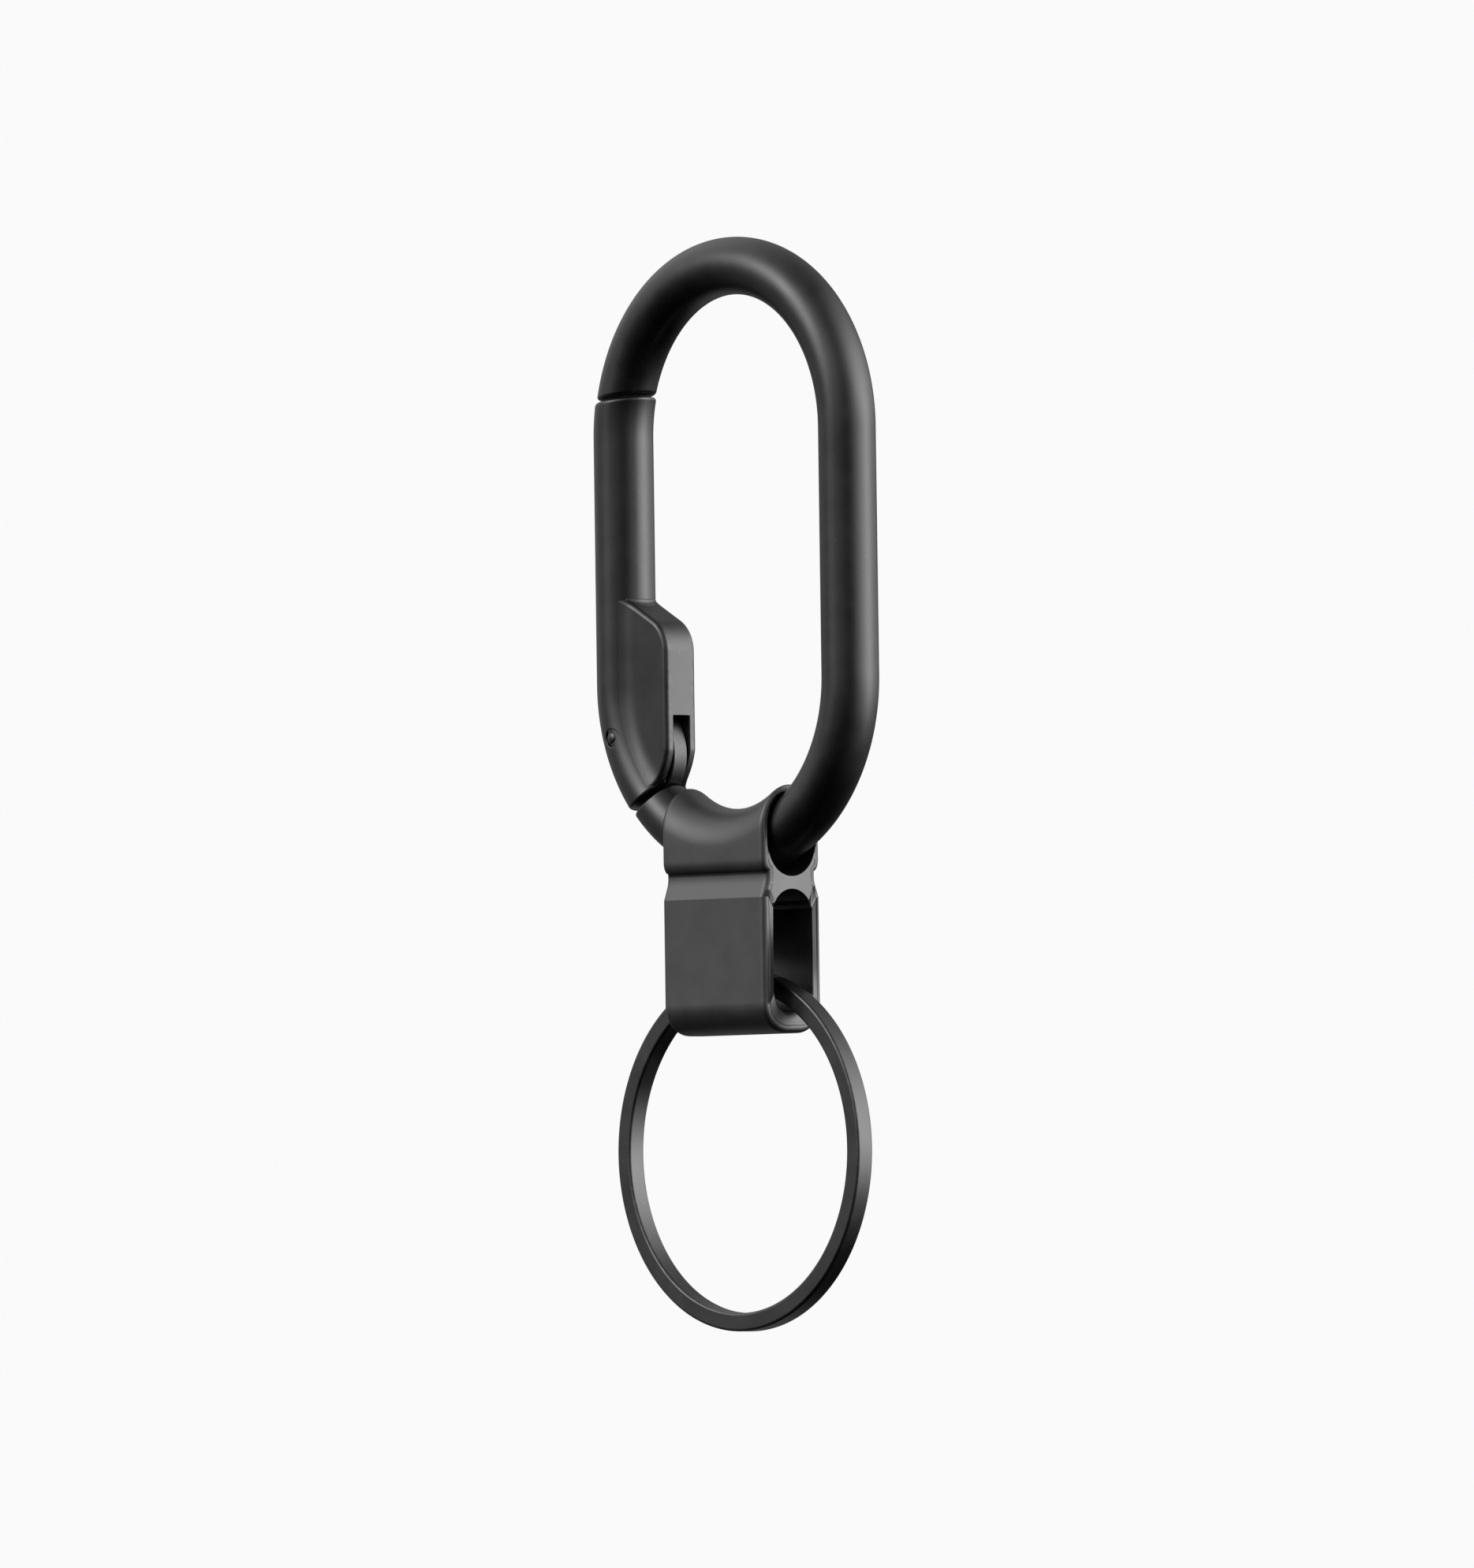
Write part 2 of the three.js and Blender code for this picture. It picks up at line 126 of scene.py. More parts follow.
class KeyringSizes(bpy.types.PropertyGroup):
    """The keyring's sizes, some of them first read from the frame."""

    bar: FloatProperty(
        name="Bar diameter", description="Diameter of the carabiner's round bar",
        default=BAR_HIGH[1] - BAR_LOW[1], unit="LENGTH", precision=5)
    gate_swell: FloatProperty(
        name="Gate swell", description="How far the gate's bar stands proud of the frame's bar",
        default=0.1 * MM, unit="LENGTH", precision=5)
    bend: FloatProperty(
        name="Bend radius", description="Radius of both bows, to the middle of the bar",
        default=BAR_HIGH[0] - BAR_HIGH[1], unit="LENGTH", precision=5)
    straight: FloatProperty(
        name="Straight length", description="Straight length between the two bows",
        default=20.6 * MM, unit="LENGTH", precision=5)
    seam_rise: FloatProperty(
        name="Seam height", description="Height of the gate seam over the upper bow's centre",
        default=3.3 * MM, unit="LENGTH", precision=5)
    seam_gap: FloatProperty(
        name="Seam gap", description="Gap between the gate and the nose",
        default=0.2 * MM, unit="LENGTH", precision=5)
    seam_edge: FloatProperty(
        name="Seam edge radius", description="Rounding of the bar ends at the seam",
        default=0.30 * MM, unit="LENGTH", precision=5)
    gate_end: FloatProperty(
        name="Gate end radius", description="Radius of the gate's round lower end about its pin",
        default=6.15 * MM, unit="LENGTH", precision=5)
    shoulder_gap: FloatProperty(
        name="Shoulder gap", description="Gap between the gate's lower end and the frame",
        default=0.5 * MM, unit="LENGTH", precision=5)
    bulge: FloatProperty(
        name="Bulge thickness", description="Thickness of the gate's thumb bulge",
        default=3.4 * MM, unit="LENGTH", precision=5)
    bulge_edge: FloatProperty(
        name="Bulge edge radius", description="Rounding along the rim of the thumb bulge",
        default=0.40 * MM, unit="LENGTH", precision=5)
    tongue: FloatProperty(
        name="Tongue thickness", description="Thickness of the frame's tongue in the gate",
        default=1.5 * MM, unit="LENGTH", precision=5)
    pin: FloatProperty(
        name="Pin diameter", description="Diameter of the gate's pivot pin",
        default=1.1 * MM, unit="LENGTH", precision=5)
    ring: FloatProperty(
        name="Ring diameter", description="Outside diameter of the key ring",
        default=RING_HIGH[0] - RING_LOW[0], unit="LENGTH", precision=5)
    ring_height: FloatProperty(
        name="Ring section height", description="Height of the ring's section, towards its centre",
        default=1.54 * MM, unit="LENGTH", precision=5)
    ring_depth: FloatProperty(
        name="Ring section depth", description="Depth of the ring's section along its axis",
        default=RING_HIGH[1] - RING_LOW[1], unit="LENGTH", precision=5)
    block_width: FloatProperty(
        name="Block width", description="Width of the swivel block along the bar",
        default=BLOCK_HIGH[0] - BLOCK_LOW[0], unit="LENGTH", precision=5)
    block_depth: FloatProperty(
        name="Block depth", description="Depth of the swivel block's flat part",
        default=6.4 * MM, unit="LENGTH", precision=5)


class KeyringColours(bpy.types.PropertyGroup):
    """The coatings' colours, and the colour of the paper behind the keyring."""

    bar_black: FloatVectorProperty(
        name="Bar coating", description="Colour of the carabiner's black coating",
        subtype="COLOR", min=0.0, max=1.0, default=(0.100, 0.100, 0.101))
    block_black: FloatVectorProperty(
        name="Block coating", description="Colour of the block's matte black coating",
        subtype="COLOR", min=0.0, max=1.0, default=(0.150, 0.150, 0.151))
    ring_black: FloatVectorProperty(
        name="Ring coating", description="Colour of the key ring's black coating",
        subtype="COLOR", min=0.0, max=1.0, default=(0.112, 0.112, 0.113))
    bare_steel: FloatVectorProperty(
        name="Bare steel", description="Colour of the spring and the plunger",
        subtype="COLOR", min=0.0, max=1.0, default=(0.50, 0.50, 0.49))
    backdrop: FloatVectorProperty(
        name="Backdrop", description="Colour of the paper behind the keyring",
        subtype="COLOR", min=0.0, max=1.0, default=(0.955, 0.955, 0.955))


# ---- Surfaces ----


def quads(rows, columns, wrap):
    """Faces of a grid of rows by columns, row after row. wrap joins the last column to the first."""
    across = columns if wrap else columns - 1
    row = np.arange(rows - 1)[:, None] * columns
    here = np.arange(across)[None, :]
    there = (here + 1) % columns
    faces = np.stack([row + here, row + there, row + columns + there, row + columns + here], axis=-1)
    return faces.reshape(-1, 4)


class Skin:
    """Grids of points that together close one piece, with a worn-edge value at each point."""

    def __init__(self):
        self.points = []
        self.faces = []
        self.wear = []
        self.count = 0

    def grid(self, points, wear=None, wrap=True):
        """Adds a grid of points, rows by columns by 3, and how worn each of them is."""
        rows, columns = points.shape[:2]
        self.faces.append(quads(rows, columns, wrap) + self.count)
        self.points.append(points.reshape(-1, 3))
        worn = np.zeros((rows, columns)) if wear is None else np.broadcast_to(wear, (rows, columns))
        self.wear.append(worn.reshape(-1))
        self.count += rows * columns

    def piece(self, name, material, body, node, slot):
        """Makes one closed object of the grids. It rides the body and stands for the CAD node."""
        mesh = bpy.data.meshes.new(name)
        points = np.concatenate(self.points)
        faces = np.concatenate(self.faces)
        mesh.from_pydata(points.tolist(), [], faces.tolist())
        worn = mesh.attributes.new("worn", "FLOAT", "POINT")
        worn.data.foreach_set("value", np.concatenate(self.wear).astype(np.float32))
        seal(mesh)
        mesh.materials.append(material)
        thing = bpy.data.objects.new(name, mesh)
        bpy.context.scene.collection.objects.link(thing)
        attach(thing, body)
        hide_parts(node)
        return thing


def seal(mesh):
    """Merges the grids' shared edges and poles, turns the faces outwards and shades them smooth."""
    work = bmesh.new()
    work.from_mesh(mesh)
    bmesh.ops.remove_doubles(work, verts=work.verts, dist=1e-7)
    bmesh.ops.dissolve_degenerate(work, dist=1e-8, edges=work.edges)
    bmesh.ops.recalc_face_normals(work, faces=work.faces)
    work.to_mesh(mesh)
    work.free()
    mesh.polygons.foreach_set("use_smooth", np.ones(len(mesh.polygons), dtype=bool))
    mesh.update()


def quarter(steps, hold=FLAT_HOLD):
    """A quarter round in (run, drop), each 0 to 1: run is 1 - cos and drop is 1 - sin of the angle.

    One more point stands just before the round, which keeps the flat beside it flat.
    """
    angle = np.linspace(0.0, math.pi / 2, steps)
    run = np.concatenate([[0.0], 1.0 - np.cos(angle)])
    drop = np.concatenate([[1.0 + hold], 1.0 - np.sin(angle)])
    return run, drop


def rounded(corners, radii, steps=7, hold=2e-5, closed=True):
    """A polygon with its corners as arcs of the given radii, and a point just beside each arc.

    At a corner the arc is the circle that touches both sides, from one touching point to the other.
    """
    corners = np.asarray(corners, dtype=float)
    total = len(corners)
    chosen = range(total) if closed else range(1, total - 1)
    parts = [] if closed else [corners[:1]]
    for i in chosen:
        before = corners[i - 1] - corners[i]
        after = corners[(i + 1) % total] - corners[i]
        a = before / np.linalg.norm(before)
        b = after / np.linalg.norm(after)
        half = 0.5 * math.acos(np.clip(a @ b, -1.0, 1.0))
        reach = radii[i] / math.tan(half)
        middle = corners[i] + (a + b) / np.linalg.norm(a + b) * radii[i] / math.sin(half)
        first = corners[i] + a * reach - middle
        last = corners[i] + b * reach - middle
        sweep = math.atan2(first[0] * last[1] - first[1] * last[0], first @ last)
        turn = np.linspace(0.0, sweep, steps)[:, None]
        side = np.array([-first[1], first[0]])
        arc = middle + np.cos(turn) * first + np.sin(turn) * side
        parts += [corners[i] + a * (reach + hold), arc, corners[i] + b * (reach + hold)]
    if not closed:
        parts.append(corners[-1:])
    return np.concatenate([np.atleast_2d(part) for part in parts])


def left_normals(line, closed):
    """Unit normals on the left of a 2D line, from the difference of each point's neighbours."""
    if closed:
        run = np.roll(line, -1, axis=0) - np.roll(line, 1, axis=0)
    else:
        run = np.gradient(line, axis=0)
    run = run / np.linalg.norm(run, axis=1, keepdims=True)
    return np.stack([-run[:, 1], run[:, 0]], axis=1)


# ---- The carabiner's bar ----


class Bow:
    """Places on the stadium-shaped bar, worked out from the sizes."""

    def __init__(self, sizes):
        self.r = sizes.bar / 2
        self.bend = sizes.bend
        self.straight = sizes.straight
        self.upper = self.r - self.bend
        self.lower = self.upper - self.straight
        self.pin = (GATE_PIVOT[0], GATE_PIVOT[2])
        self.pin_angle = math.atan2(self.lower - self.pin[1], -self.pin[0])
        self.half_turn = math.pi * self.bend
        self.seam = sizes.seam_rise
        self.slope = SEAM_SLOPE

    def at(self, along, out, y):
        """The point at a length along the bar, out from its centreline and sideways by y.

        Length 0 is where the upper bow starts on the gate side. On a bow the point is its centre
        plus (bend + out) times the radial direction; on a straight it is beside the centreline.
        """
        along, out, y = np.broadcast_arrays(along, out, y)
        reach = self.bend + out
        down_gate = (along + self.straight) / self.bend
        up = along / self.bend
        down_spine = (along - self.half_turn - self.straight) / self.bend
        places = [
            along < -self.straight,
            along < 0,
            along < self.half_turn,
            along < self.half_turn + self.straight,
        ]
        x = np.select(
            places,
            [-reach * np.cos(down_gate), -reach, -reach * np.cos(up), reach],
            reach * np.cos(down_spine))
        z = np.select(
            places,
            [
                self.lower + reach * np.sin(down_gate),
                self.upper + along,
                self.upper + reach * np.sin(up),
                self.upper - (along - self.half_turn),
            ],
            self.lower - reach * np.sin(down_spine))
        return np.stack([x, y + 0 * x, z], axis=-1)

    def seam_length(self, out, offset):
        """Length along the bar at which a line at out meets the seam's plane, moved by offset.

        With the plane's slope t, its height over the bow's centre k and the line's radius q, the
        meeting angle is asin(k / q) - t.
        """
        seam_x = -math.sqrt(self.bend**2 - self.seam**2)
        height = -seam_x * math.sin(self.slope) + self.seam * math.cos(self.slope) + offset
        return self.bend * (np.arcsin(height / (self.bend + out)) - self.slope)

    def pin_turn(self, out, distance):
        """Angle round the lower bow from the pin to a line at out, at a distance from the pin.

        By the cosine rule on the bow's centre, the pin and the point.
        """
        reach = self.bend + out
        cosine = (reach**2 + self.bend**2 - distance**2) / (2 * reach * self.bend)
        return np.arccos(np.clip(cosine, -1.0, 1.0))

    def shoulder_length(self, out, distance):
        """Length along the bar to the frame's shoulder, at a distance from the pin."""
        turn = math.pi - self.pin_angle - self.pin_turn(out, distance)
        return self.half_turn + self.straight + self.bend * turn

    def gate_foot_length(self, out, distance):
        """Length along the bar to the gate's lower end, at a distance from the pin."""
        return -self.straight - self.bend * (self.pin_angle + self.pin_turn(out, distance))


def bar_skin(bow, r, start, start_edge, end, end_edge, stations, around):
    """A round bar of radius r between two trimmed ends.

    Each end is a surface start(out, offset) or end(out, offset), offset being into the bar. The
    section shrinks over a quarter round at each end and then to a point, so the skin is closed.
    """
    skin = Skin()

    def cap(place, edge):
        run, drop = quarter(8)
        radius = (r - edge * run)[:, None]
        offset = (edge * drop)[:, None]
        closing = np.linspace(1.0, 0.0, 9)[1:, None] * (r - edge)
        radius = np.concatenate([radius, closing])
        offset = np.concatenate([offset, 0 * closing])
        out = radius * np.cos(around)
        points = bow.at(place(out, offset), out, radius * np.sin(around))
        worn = np.concatenate([np.linspace(0, 1, 6), [0.8, 0.5, 0.2], np.zeros(8)])[:, None]
        return points, worn

    first, first_worn = cap(start, start_edge)
    last, last_worn = cap(end, end_edge)
    out = r * np.cos(around)[None, :]
    low = start(out, start_edge * (1 + FLAT_HOLD))
    high = end(out, end_edge * (1 + FLAT_HOLD))
    along = low + (high - low) * stations[:, None]
    body = bow.at(along, out, r * np.sin(around)[None, :])
    skin.grid(first[::-1], first_worn[::-1])
    skin.grid(body)
    skin.grid(last, last_worn)
    return skin


def plate_skin(skin, outline, back, half, edge, slot=None, flare=None):
    """A plate with a rounded rim, closed behind the rim along the line back.

    For each outline point the section runs from the back point along one cheek, over a quarter
    round of the edge radius, across the rim and back over the other cheek. Where slot is given as
    (half width, first row, last row, depth share), the rim dips between those rows. Where flare is
    given, it is the factor by which the plate widens at a place in the XZ plane.
    """
    inward = left_normals(outline, closed=False)
    if np.sum((back - outline) * inward) < 0:
        inward = -inward
    run, drop = quarter(7)
    sink = edge * drop
    side = half - edge * run
    wide = 0.0 if slot is None else slot[0]
    soft = 0.10 * MM
    lip = np.array([wide + soft + 2e-5, wide + soft, wide + 0.3 * soft, wide])
    sunk = np.array([0.0, 0.0, 0.3 * soft, soft])
    across = np.concatenate([lip, [wide, wide]]) if slot else np.array([0.5 * half, 0.0])
    share = np.linspace(0.8, 0.0, 6)
    rows, count = len(outline), len(sink) + len(across)
    depth = np.zeros((rows, count))
    level = np.zeros((rows, count))
    depth[:, : len(sink)] = sink
    level[:, : len(sink)] = side
    level[:, len(sink):] = across
    deep = np.zeros((rows, count))
    if slot:
        cut = (np.arange(rows) >= slot[1]) & (np.arange(rows) <= slot[2])
        depth[:, len(sink): len(sink) + 4] = np.where(cut[:, None], sunk, 0.0)
        deep[:, -2] = np.where(cut, 0.5 * slot[3], 0.0)
        deep[:, -1] = np.where(cut, slot[3], 0.0)
        flat = wide * share
        level[:, len(sink):] = np.where(cut[:, None], across, np.minimum(across, flat))
        level[:, len(sink)] = across[0]
    rim = outline[:, None, :] + inward[:, None, :] * depth[:, :, None]
    rim = rim + (back[:, None, :] - rim) * deep[:, :, None]
    spread = np.array([0, 0.1, 0.18, 0.24, 0.3, 0.36, 0.42, 0.48, 0.54, 0.6, 0.68, 0.78, 0.9])
    if flare is None:
        spread = spread[:1]
    behind = back[:, None, :] + (rim[:, :1] - back[:, None, :]) * spread[None, :, None]
    flat_side = np.concatenate([behind, rim], axis=1)
    y = np.concatenate([np.full((rows, len(spread)), half), level], axis=1)
    if flare is not None:
        y = y * flare(flat_side[..., 0], flat_side[..., 1])
    near = np.stack([flat_side[..., 0], -y, flat_side[..., 1]], axis=-1)
    far = np.stack([flat_side[..., 0], y, flat_side[..., 1]], axis=-1)[:, ::-1]
    loop = np.concatenate([near, far], axis=1)
    worn_row = np.zeros(loop.shape[1])
    first = len(spread)
    worn_row[first + 2: first + len(sink)] = 0.9
    worn_row[-first - len(sink): -first - 2] = 0.9
    skin.grid(loop, worn_row)
    for row in (0, rows - 1):
        middle = loop[row].mean(axis=0)
        skin.grid(np.stack([loop[row], np.broadcast_to(middle, loop[row].shape)]))
    return skin


def arc(centre, radius, first, last, count):
    """Points on a circle in the XZ plane, from one angle to another."""
    angle = np.linspace(first, last, count)
    return np.stack([centre[0] + radius * np.cos(angle), centre[1] + radius * np.sin(angle)], axis=1)


def dense_around(spots, width, fine, coarse):
    """Angles round a bar, closer together near the spots: fine steps within width of each."""
    angle = np.linspace(-math.pi, math.pi, coarse, endpoint=False)
    near = [spot + np.linspace(-width, width, fine) for spot in spots]
    away = [np.abs(np.angle(np.exp(1j * (angle - spot)))) for spot in spots]
    keep = np.all([turn > width * 1.05 for turn in away], axis=0)
    return np.sort(np.concatenate([angle[keep]] + near))


# ---- Materials ----


def new_group(name, inputs, outputs):
    """An empty node group with its sockets. Each socket is (name, kind, default)."""
    group = bpy.data.node_groups.new(name, "ShaderNodeTree")
    for socket, kind, default in inputs:
        made = group.interface.new_socket(name=socket, in_out="INPUT", socket_type=kind)
        if default is not None:
            made.default_value = default
    for socket, kind in outputs:
        group.interface.new_socket(name=socket, in_out="OUTPUT", socket_type=kind)
    entry = group.nodes.new("NodeGroupInput")
    leave = group.nodes.new("NodeGroupOutput")
    return group, entry, leave


def coating_grain():
    """Fine blasted grain under the coating: a height and a mask that vary over the surface."""
    group, entry, leave = new_group(
        "Coating Grain",
        [("Vector", "NodeSocketVector", None), ("Size", "NodeSocketFloat", 9000.0)],
        [("Height", "NodeSocketFloat"), ("Mottle", "NodeSocketFloat")])
    fine = group.nodes.new("ShaderNodeTexNoise")
    fine.inputs["Detail"].default_value = 4.0
    fine.inputs["Roughness"].default_value = 0.62
    broad = group.nodes.new("ShaderNodeTexNoise")
    broad.inputs["Scale"].default_value = 420.0
    broad.inputs["Detail"].default_value = 3.0
    group.links.new(entry.outputs["Vector"], fine.inputs["Vector"])
    group.links.new(entry.outputs["Size"], fine.inputs["Scale"])
    group.links.new(entry.outputs["Vector"], broad.inputs["Vector"])
    group.links.new(fine.outputs["Fac"], leave.inputs["Height"])
    group.links.new(broad.outputs["Fac"], leave.inputs["Mottle"])
    return group


def handling_marks():
    """Light handling: specks of dust and a little bare metal where edges rub."""
    group, entry, leave = new_group(
        "Handling Marks",
        [("Vector", "NodeSocketVector", None), ("Worn", "NodeSocketFloat", 0.0)],
        [("Dust", "NodeSocketFloat"), ("Rub", "NodeSocketFloat")])
    speck = group.nodes.new("ShaderNodeTexVoronoi")
    speck.inputs["Scale"].default_value = 950.0
    dots = group.nodes.new("ShaderNodeMapRange")
    dots.inputs["From Min"].default_value = 0.075
    dots.inputs["From Max"].default_value = 0.045
    patch = group.nodes.new("ShaderNodeTexNoise")
    patch.inputs["Scale"].default_value = 1500.0
    patch.inputs["Detail"].default_value = 5.0
    break_up = group.nodes.new("ShaderNodeMapRange")
    break_up.inputs["From Min"].default_value = 0.42
    break_up.inputs["From Max"].default_value = 0.62
    rub = group.nodes.new("ShaderNodeMath")
    rub.operation = "MULTIPLY"
    group.links.new(entry.outputs["Vector"], speck.inputs["Vector"])
    group.links.new(speck.outputs["Distance"], dots.inputs["Value"])
    group.links.new(entry.outputs["Vector"], patch.inputs["Vector"])
    group.links.new(patch.outputs["Fac"], break_up.inputs["Value"])
    group.links.new(break_up.outputs["Result"], rub.inputs[0])
    group.links.new(entry.outputs["Worn"], rub.inputs[1])
    group.links.new(dots.outputs["Result"], leave.inputs["Dust"])
    group.links.new(rub.outputs["Value"], leave.inputs["Rub"])
    return group


def shared_group(name, maker):
    """The node group of this name, made when it is first asked for."""
    return bpy.data.node_groups.get(name) or maker()


def black_coating(name, colour, rough, grain_size, grain_height, rub_gain):
    """A satin black coating over blasted metal, with mottled gloss, dust and rubbed edges."""
    material = bpy.data.materials.new(name)
    material.use_nodes = True
    tree = material.node_tree
    shader = tree.nodes["Principled BSDF"]
    shader.inputs["Metallic"].default_value = 1.0
    shader.inputs["IOR"].default_value = 1.55
    place = tree.nodes.new("ShaderNodeTexCoord")
    worn = tree.nodes.new("ShaderNodeAttribute")
    worn.attribute_name = "worn"
    grain = tree.nodes.new("ShaderNodeGroup")
    grain.node_tree = shared_group("Coating Grain", coating_grain)
    grain.inputs["Size"].default_value = grain_size
    marks = tree.nodes.new("ShaderNodeGroup")
    marks.node_tree = shared_group("Handling Marks", handling_marks)
    tree.links.new(place.outputs["Object"], grain.inputs["Vector"])
    tree.links.new(place.outputs["Object"], marks.inputs["Vector"])
    tree.links.new(worn.outputs["Fac"], marks.inputs["Worn"])

    tone = tree.nodes.new("ShaderNodeMapRange")
    tone.inputs["To Min"].default_value = 0.86
    tone.inputs["To Max"].default_value = 1.14
    tree.links.new(grain.outputs["Mottle"], tone.inputs["Value"])
    shade = tree.nodes.new("ShaderNodeMix")
    shade.data_type = "RGBA"
    shade.blend_type = "MULTIPLY"
    shade.inputs["Factor"].default_value = 1.0
    shade.inputs["A"].default_value = (*colour, 1.0)
    tree.links.new(tone.outputs["Result"], shade.inputs["B"])
    dusty = tree.nodes.new("ShaderNodeMix")
    dusty.data_type = "RGBA"
    dusty.inputs["B"].default_value = (0.34, 0.34, 0.33, 1.0)
    dust_share = tree.nodes.new("ShaderNodeMath")
    dust_share.operation = "MULTIPLY"
    dust_share.inputs[1].default_value = 0.16
    tree.links.new(marks.outputs["Dust"], dust_share.inputs[0])
    tree.links.new(dust_share.outputs["Value"], dusty.inputs["Factor"])
    tree.links.new(shade.outputs["Result"], dusty.inputs["A"])
    rubbed = tree.nodes.new("ShaderNodeMix")
    rubbed.data_type = "RGBA"
    rubbed.inputs["B"].default_value = (0.30, 0.30, 0.30, 1.0)
    rub_share = tree.nodes.new("ShaderNodeMath")
    rub_share.operation = "MULTIPLY"
    rub_share.inputs[1].default_value = rub_gain
    tree.links.new(marks.outputs["Rub"], rub_share.inputs[0])
    tree.links.new(rub_share.outputs["Value"], rubbed.inputs["Factor"])
    tree.links.new(dusty.outputs["Result"], rubbed.inputs["A"])
    tree.links.new(rubbed.outputs["Result"], shader.inputs["Base Color"])

    gloss = tree.nodes.new("ShaderNodeMapRange")
    gloss.inputs["From Min"].default_value = 0.25
    gloss.inputs["From Max"].default_value = 0.75
    gloss.inputs["To Min"].default_value = rough - 0.05
    gloss.inputs["To Max"].default_value = rough + 0.05
    tree.links.new(grain.outputs["Mottle"], gloss.inputs["Value"])
    tree.links.new(gloss.outputs["Result"], shader.inputs["Roughness"])
    bump = tree.nodes.new("ShaderNodeBump")
    bump.inputs["Strength"].default_value = 0.6
    bump.inputs["Distance"].default_value = grain_height
    tree.links.new(grain.outputs["Height"], bump.inputs["Height"])
    tree.links.new(bump.outputs["Normal"], shader.inputs["Normal"])
    return material


def drawn_steel(name, colour, rough):
    """Bright drawn steel with a fine lengthwise grain."""
    material = bpy.data.materials.new(name)
    material.use_nodes = True
    tree = material.node_tree
    shader = tree.nodes["Principled BSDF"]
    shader.inputs["Metallic"].default_value = 1.0
    place = tree.nodes.new("ShaderNodeTexCoord")
    stretch = tree.nodes.new("ShaderNodeMapping")
    stretch.inputs["Scale"].default_value = (1.0, 1.0, 14.0)
    lines = tree.nodes.new("ShaderNodeTexNoise")
    lines.inputs["Scale"].default_value = 1800.0
    tint = tree.nodes.new("ShaderNodeMix")
    tint.data_type = "RGBA"
    tint.inputs["A"].default_value = (*[c * 0.75 for c in colour], 1.0)
    tint.inputs["B"].default_value = (*colour, 1.0)
    gloss = tree.nodes.new("ShaderNodeMapRange")
    gloss.inputs["To Min"].default_value = rough - 0.08
    gloss.inputs["To Max"].default_value = rough + 0.08
    tree.links.new(place.outputs["Object"], stretch.inputs["Vector"])
    tree.links.new(stretch.outputs["Vector"], lines.inputs["Vector"])
    tree.links.new(lines.outputs["Fac"], tint.inputs["Factor"])
    tree.links.new(lines.outputs["Fac"], gloss.inputs["Value"])
    tree.links.new(tint.outputs["Result"], shader.inputs["Base Color"])
    tree.links.new(gloss.outputs["Result"], shader.inputs["Roughness"])
    return material


def bar_coating():
    """The one coating that the carabiner's frame and its gate share."""
    made = bpy.data.materials.get("bar black coating")
    colour = bpy.context.scene.keyring_colours.bar_black
    return made or black_coating("bar black coating", colour, 0.36, 9000.0, 5e-6, 0.10)


# ---- Pieces ----


class KEYRING_OT_frame_bar(bpy.types.Operator):
    """Round bar of the carabiner with its nose, shoulder and the tongue inside the gate"""

    bl_idname = "keyring.frame_bar"
    bl_label = "Carabiner Frame"

    def execute(self, context):
        sizes = context.scene.keyring_sizes
        bow = Bow(sizes)
        shoulder = sizes.gate_end + sizes.shoulder_gap

        def nose(out, offset):
            return bow.seam_length(out, sizes.seam_gap / 2 + offset)

        def shoulder_end(out, offset):
            return bow.shoulder_length(out, shoulder + offset)

        around = np.linspace(0, 2 * math.pi, 80, endpoint=False)
        stations = np.linspace(0, 1, 240)
        shoulder_edge = 0.22 * MM
        skin = bar_skin(
            bow, bow.r, nose, sizes.seam_edge, shoulder_end, shoulder_edge, stations, around)
        self.tongue(skin, bow, sizes)
        skin.piece("carabiner_bar", bar_coating(), "frame", "carabiner_frame", "frame_coating")
        return {"FINISHED"}

    def tongue(self, skin, bow, sizes):
        """Plate round the cam lobe: an arc about a centre beside the pin, then on into the bar."""
        lobe = (bow.pin[0] + 1.47 * MM, bow.pin[1] - 1.39 * MM)
        lobe_radius = 4.43 * MM
        into_bar = 8.6 * MM
        edge_line = arc(lobe, lobe_radius, math.radians(150), math.radians(-62), 90)
        root = bow.at(bow.shoulder_length(-0.5 * MM, into_bar), -1.9 * MM, 0.0)
        outline = np.concatenate([edge_line, [root[[0, 2]]]])
        back_start = np.array([bow.pin[0] - 0.9 * MM, bow.pin[1] + 0.4 * MM])
        back_mid = np.array([bow.pin[0] + 0.8 * MM, bow.pin[1] - 2.6 * MM])
        back_end = bow.at(bow.shoulder_length(0.0, into_bar), 0.6 * MM, 0.0)[[0, 2]]
        share = np.linspace(0, 1, len(outline))[:, None]
        first = back_start + (back_mid - back_start) * np.minimum(2 * share, 1)
        back = first + (back_end - back_mid) * np.maximum(2 * share - 1, 0)
        tongue_edge = 0.12 * MM
        plate_skin(skin, outline, back, sizes.tongue / 2, tongue_edge)


